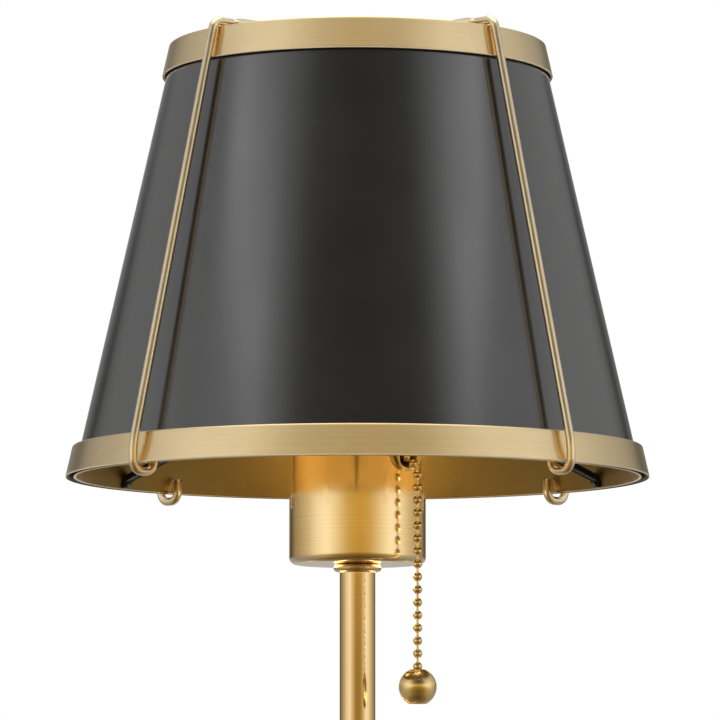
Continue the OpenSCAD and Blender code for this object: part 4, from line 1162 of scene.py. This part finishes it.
class SCONCE_OT_chain(bpy.types.Operator):
    """Strings the pull chain and hangs its ball"""

    bl_idname = "sconce.chain"
    bl_label = "Pull chain"

    def execute(self, context):
        chain = context.scene.sconce_chain
        bead, pitch, wire = chain.bead / 2, chain.pitch, chain.wire / 2
        stub, inner_beads = 0.00035, (1, 2, 4)
        reach, tie = bead + stub, Vector((0, 0, pitch - bead - SEAT))
        mouth_way, throat_way, lead_way = map(slope_of, (chain.mouth, chain.throat, chain.lead))
        step = Vector((0, 0, -pitch))
        top = Vector((CHAIN_RADIUS, 0, TOP_BEAD_Z))
        second = top + step
        mouth = top - pitch * mouth_way
        throat = mouth - pitch * throat_way
        inner = [throat - pitch * k * lead_way for k in inner_beads]
        for name, body, node, beads, wires in (
            ("Chain_corner_1", "chain_mouth_bead", "chain_turn_1", [mouth], [
                (mouth, mouth - reach * throat_way), (mouth, mouth + reach * mouth_way),
            ]),
            ("Chain_corner_2", "chain_throat_bead", "chain_turn_2", [throat], [
                (throat, throat - reach * lead_way), (throat, throat + reach * throat_way),
            ]),
            ("Chain_inner", "chain_inner", "chain_lead", inner, [(inner[-1], inner[0] + reach * lead_way)]),
            ("Chain_top", "chain_top_bead", "chain_top", [top], [(top, top - reach * mouth_way)]),
            ("Chain_second", "chain_second_bead", "chain_second", [second], [(second, second + tie)]),
        ):
            self.knot(name, body, node, beads, bead, wire, wires)
        first = PULL @ (second + step)
        self.hanging(chain, first, step, tie.z)
        self.weight(chain, first.z - RIM_Z - (chain.beads - 3) * pitch)
        return {"FINISHED"}

    def hanging(self, chain, first, step, tie):
        """The hollow beads that hang from the second bead, and the wire links between them."""
        bead, pitch, wire = chain.bead / 2, chain.pitch, chain.wire / 2
        core, hole = bead - chain.wall, wire + SEAT
        edge = math.degrees(math.acos(hole / bead))
        inset, cap_share, cap_height, cap_edge = 6, 0.8, 0.0004, 0.00008
        shell = turned("Bead", [
            *arc((0, 0), bead, -edge, edge, 14), *arc((0, 0), core, edge - inset, inset - edge, 8),
        ], Matrix(), BEAD)
        beads = repeated("Chain_beads", "row", shell, "bright", {
            "Count": chain.beads - 2, "First": first, "Step": step,
        })
        settle(beads, "chain_hanging", "bright_brass", "chain_beads")
        cap, neck = core * cap_share, pitch - cap_height
        link = turned("Link", soften([
            (0, cap_height), (wire, cap_height), (wire, neck), (cap, neck), (cap, pitch), (0, pitch),
        ], cap_edge, 2), Matrix(), WIRE)
        links = repeated("Chain_links", "row", link, "bright", {
            "Count": chain.beads - 3, "First": first + step, "Step": step,
        })
        upper = peg("Upper_link", Matrix.Translation(first), wire, 0, tie, LINK)
        links = joined("Chain_links", links, upper)
        settle(links, "chain_hanging", "bright_brass", "chain_links", "bright")

    def knot(self, name, body, node, beads, bead, wire, wires):
        """Solid beads and the wires that leave them, in the plane of the pull."""
        parts = [ball(name, PULL @ centre, bead) for centre in beads]
        for start, end in wires:
            parts.append(swept(name, [PULL @ start, PULL @ end], [wire, wire], WIRE))
        settle(joined(name, *parts), body, "bright_brass", node, "bright")

    def weight(self, chain, last):
        """The ball, bored from below for the chain's end bead and sunk above for the last one."""
        bead, radius = chain.bead / 2, chain.ball / 2
        crown, room, chamfer = 0.0005, 0.0003, 0.0002
        under = last - bead - SEAT
        top = under + chain.sink
        centre = top - radius + crown
        flat = centre - math.sqrt(radius ** 2 - (chain.flat / 2) ** 2)
        hole, bore = chain.wire / 2 + SEAT, bead + room
        ledge = last - chain.pitch + bead + SEAT
        upper = math.degrees(math.asin((top - centre) / radius))
        lower = math.degrees(math.asin((flat - centre) / radius))
        outline = [
            (hole, ledge), (bore, ledge), (bore, flat + chamfer), (bore + chamfer, flat),
            *arc((0, centre), radius, lower, upper, 26), (bead + chamfer, top),
            (bead + chamfer, under), (hole, under),
        ]
        axis = PULL @ Matrix.Translation((CHAIN_RADIUS, 0, 0))
        body = turned("Ball", outline, axis, BORE)
        end = ball("Ball_bead", axis @ Vector((0, 0, last - chain.pitch)), bead)
        tie = peg("Ball_wire", axis, chain.wire / 2, last - chain.pitch, under, WIRE)
        weight = joined("Pull_ball", body, end, tie)
        settle(weight, "chain_hanging", "bright_brass", "pull_ball", "bright")


class SCONCE_OT_stand(bpy.types.Operator):
    """Turns the stem, the hub, the arm and their collars"""

    bl_idname = "sconce.stand"
    bl_label = "Stem and arm"

    # How much shallower the arm's seat in the hub is than the stem's
    arm_stop = 0.001

    def execute(self, context):
        stand, socket = context.scene.sconce_stand, context.scene.sconce_socket
        axis = Matrix.Translation((0, AXIS_Y, 0))
        outer, inner, hub = stand.tube / 2, stand.tube / 2 - stand.wall, stand.hub / 2
        top = RIM_Z - socket.cup_drop - stand.collar_height
        seat = stand.hub_height / 2 - stand.seat
        stem = turned("Stem", self.pipe(outer, inner, seat, top), axis, MIDDLE)
        settle(stem, "lamp", "brass", "stem_tube", "brass_upright")
        root, tip = stand.plate_depth + stand.collar_height, -AXIS_Y - hub + stand.seat - self.arm_stop
        arm = turned("Arm", self.pipe(outer, inner, root, tip), WALL, MIDDLE)
        settle(arm, "lamp", "brass", "arm_tube", "brass_outward")
        for name, node, place in (
            ("Stem_collar", "stem_collar", axis @ Matrix.Translation((0, 0, top))),
            ("Arm_collar", "arm_collar", WALL @ Matrix.Translation((0, 0, stand.plate_depth))),
        ):
            fat, hole = stand.collar_height / 2, stand.nipple / 2
            ring = [(hole, 0), *arc((stand.collar / 2 - fat, fat), fat, -90, 90, 14), (hole, 2 * fat)]
            settle(turned(name, ring, place, MIDDLE), "lamp", "brass", node, "brass_outward")
        self.hub(stand, axis)
        return {"FINISHED"}

    def pipe(self, outer, inner, low, high, edge=0.00025):
        """The outline of a tube with broken edges."""
        return soften([(inner, low), (outer, low), (outer, high), (inner, high)], edge)

    def hub(self, stand, axis):
        """The block that stem and arm meet in, and the button that closes it."""
        radius, half, corner = stand.hub / 2, stand.hub_height / 2, stand.hub_round
        seat, nipple, bore = stand.tube / 2 + SEAT, stand.nipple / 2, 0.0043
        chamfer, grub, grub_depth, grub_start = 0.0003, 0.00155, 0.0035, 0.0005
        dome_share, spigot_depth = 0.45, 0.006
        step = half - stand.seat
        block = turned("Hub", [
            (nipple, -step), (nipple, -half),
            *arc((radius - corner, corner - half), corner, -90, 0, 8),
            *arc((radius - corner, half - corner), corner, 0, 90, 8),
            (seat + chamfer, half), (seat, half - chamfer), (seat, step), (bore, step), (bore, -step),
        ], axis, MIDDLE)
        outward = axis @ Matrix.Rotation(math.radians(-90), 4, "X")
        sideways = axis @ Matrix.Translation((0, 0, half - grub_depth))
        sideways @= Matrix.Rotation(math.radians(90), 4, "Y")
        bored(
            block,
            peg("Arm_seat", outward, seat, radius - stand.seat + self.arm_stop, 2 * radius, BORE),
            peg("Grub_hole", sideways, grub, seat - grub_start, 2 * radius, PIN),
        )
        settle(block, "lamp", "brass", "hub_block", "brass_around")
        under = axis @ Matrix.Translation((0, 0, -half)) @ Matrix.Rotation(math.radians(180), 4, "X")
        tall = stand.button_height
        dome = [(0, 0), *rounded_top(stand.button / 2, tall, tall * dome_share, 8)]
        button = turned("Hub_button", dome, under, BORE)
        spigot = peg("Hub_spigot", under, nipple - SEAT, -spigot_depth, 0, SMALL)
        finial = joined("Hub_button", button, spigot)
        settle(finial, "lamp", "brass", "hub_finial", "brass_around")


class SCONCE_OT_plate(bpy.types.Operator):
    """Spins the wall plate and its cap nuts"""

    bl_idname = "sconce.plate"
    bl_label = "Wall plate"

    def execute(self, context):
        stand = context.scene.sconce_stand
        radius, depth, wall = stand.plate / 2, stand.plate_depth, stand.plate_wall
        corner, rim, hole = stand.plate_round, radius - stand.plate_rim, stand.nipple / 2
        centre = (radius - corner, depth - corner)
        edge, bore, roof, dome_share = 0.0004, 0.0022, 0.001, 0.2
        dish = turned("Wall_plate", [
            (rim, 0), (radius - edge, 0), (radius, edge), *arc(centre, corner, 0, 90, 14),
            (hole, depth), (hole, depth - wall), *arc(centre, corner - wall, 90, 0, 10),
            (radius - wall, wall), (rim, wall),
        ], WALL, LARGE)
        settle(dish, "lamp", "brass", "wall_plate", "brass_plate")
        tall = stand.nut_height
        dome = rounded_top(stand.nut / 2, tall, stand.nut * dome_share, 8)
        nut = turned("Cap_nut", [(bore, 0), *dome, (0, tall - roof), (bore, tall - roof)], WALL, SMALL)
        nuts = repeated("Cap_nuts", "row", nut, "brass_rod", {
            "Count": 2, "First": Vector((-stand.studs / 2, -depth, 0)), "Step": Vector((stand.studs, 0, 0)),
        })
        settle(nuts, "lamp", "brass", "cap_nuts")
        return {"FINISHED"}


class SCONCE_PT_panel(bpy.types.Panel):
    """Shows the sconce's settings and a button for each step that builds it"""

    bl_idname = "SCONCE_PT_panel"
    bl_label = "Sconce"
    bl_space_type = "VIEW_3D"
    bl_region_type = "UI"
    bl_category = "Sconce"

    def draw(self, context):
        for name, _ in SETTINGS:
            group = getattr(context.scene, name)
            for key in group.__annotations__:
                self.layout.prop(group, key, text=key.replace("_", " ").capitalize())
        for operator in OPERATORS:
            self.layout.operator(operator.bl_idname)


OPERATORS = (
    SCONCE_OT_stage, SCONCE_OT_finishes, SCONCE_OT_shade, SCONCE_OT_spider, SCONCE_OT_cage,
    SCONCE_OT_socket, SCONCE_OT_bulb, SCONCE_OT_chain, SCONCE_OT_stand, SCONCE_OT_plate,
)
SETTINGS = (
    ("sconce_shade", SconceShadeSettings),
    ("sconce_cage", SconceCageSettings),
    ("sconce_socket", SconceSocketSettings),
    ("sconce_chain", SconceChainSettings),
    ("sconce_stand", SconceStandSettings),
    ("sconce_finish", SconceFinishSettings),
    ("sconce_stage", SconceStageSettings),
)


def register():
    """Registers the settings, the operators and the panel."""
    for name, group in SETTINGS:
        bpy.utils.register_class(group)
        setattr(bpy.types.Scene, name, bpy.props.PointerProperty(type=group))
    for cls in (*OPERATORS, SCONCE_PT_panel):
        bpy.utils.register_class(cls)


def unregister():
    """Takes them away again."""
    for cls in (SCONCE_PT_panel, *reversed(OPERATORS)):
        bpy.utils.unregister_class(cls)
    for name, group in reversed(SETTINGS):
        delattr(bpy.types.Scene, name)
        bpy.utils.unregister_class(group)


def main():
    """Builds the lamp, one operator after another."""
    register()
    for operator in OPERATORS:
        getattr(bpy.ops.sconce, operator.bl_idname.split(".")[1])()


if __name__ == "__main__":
    main()
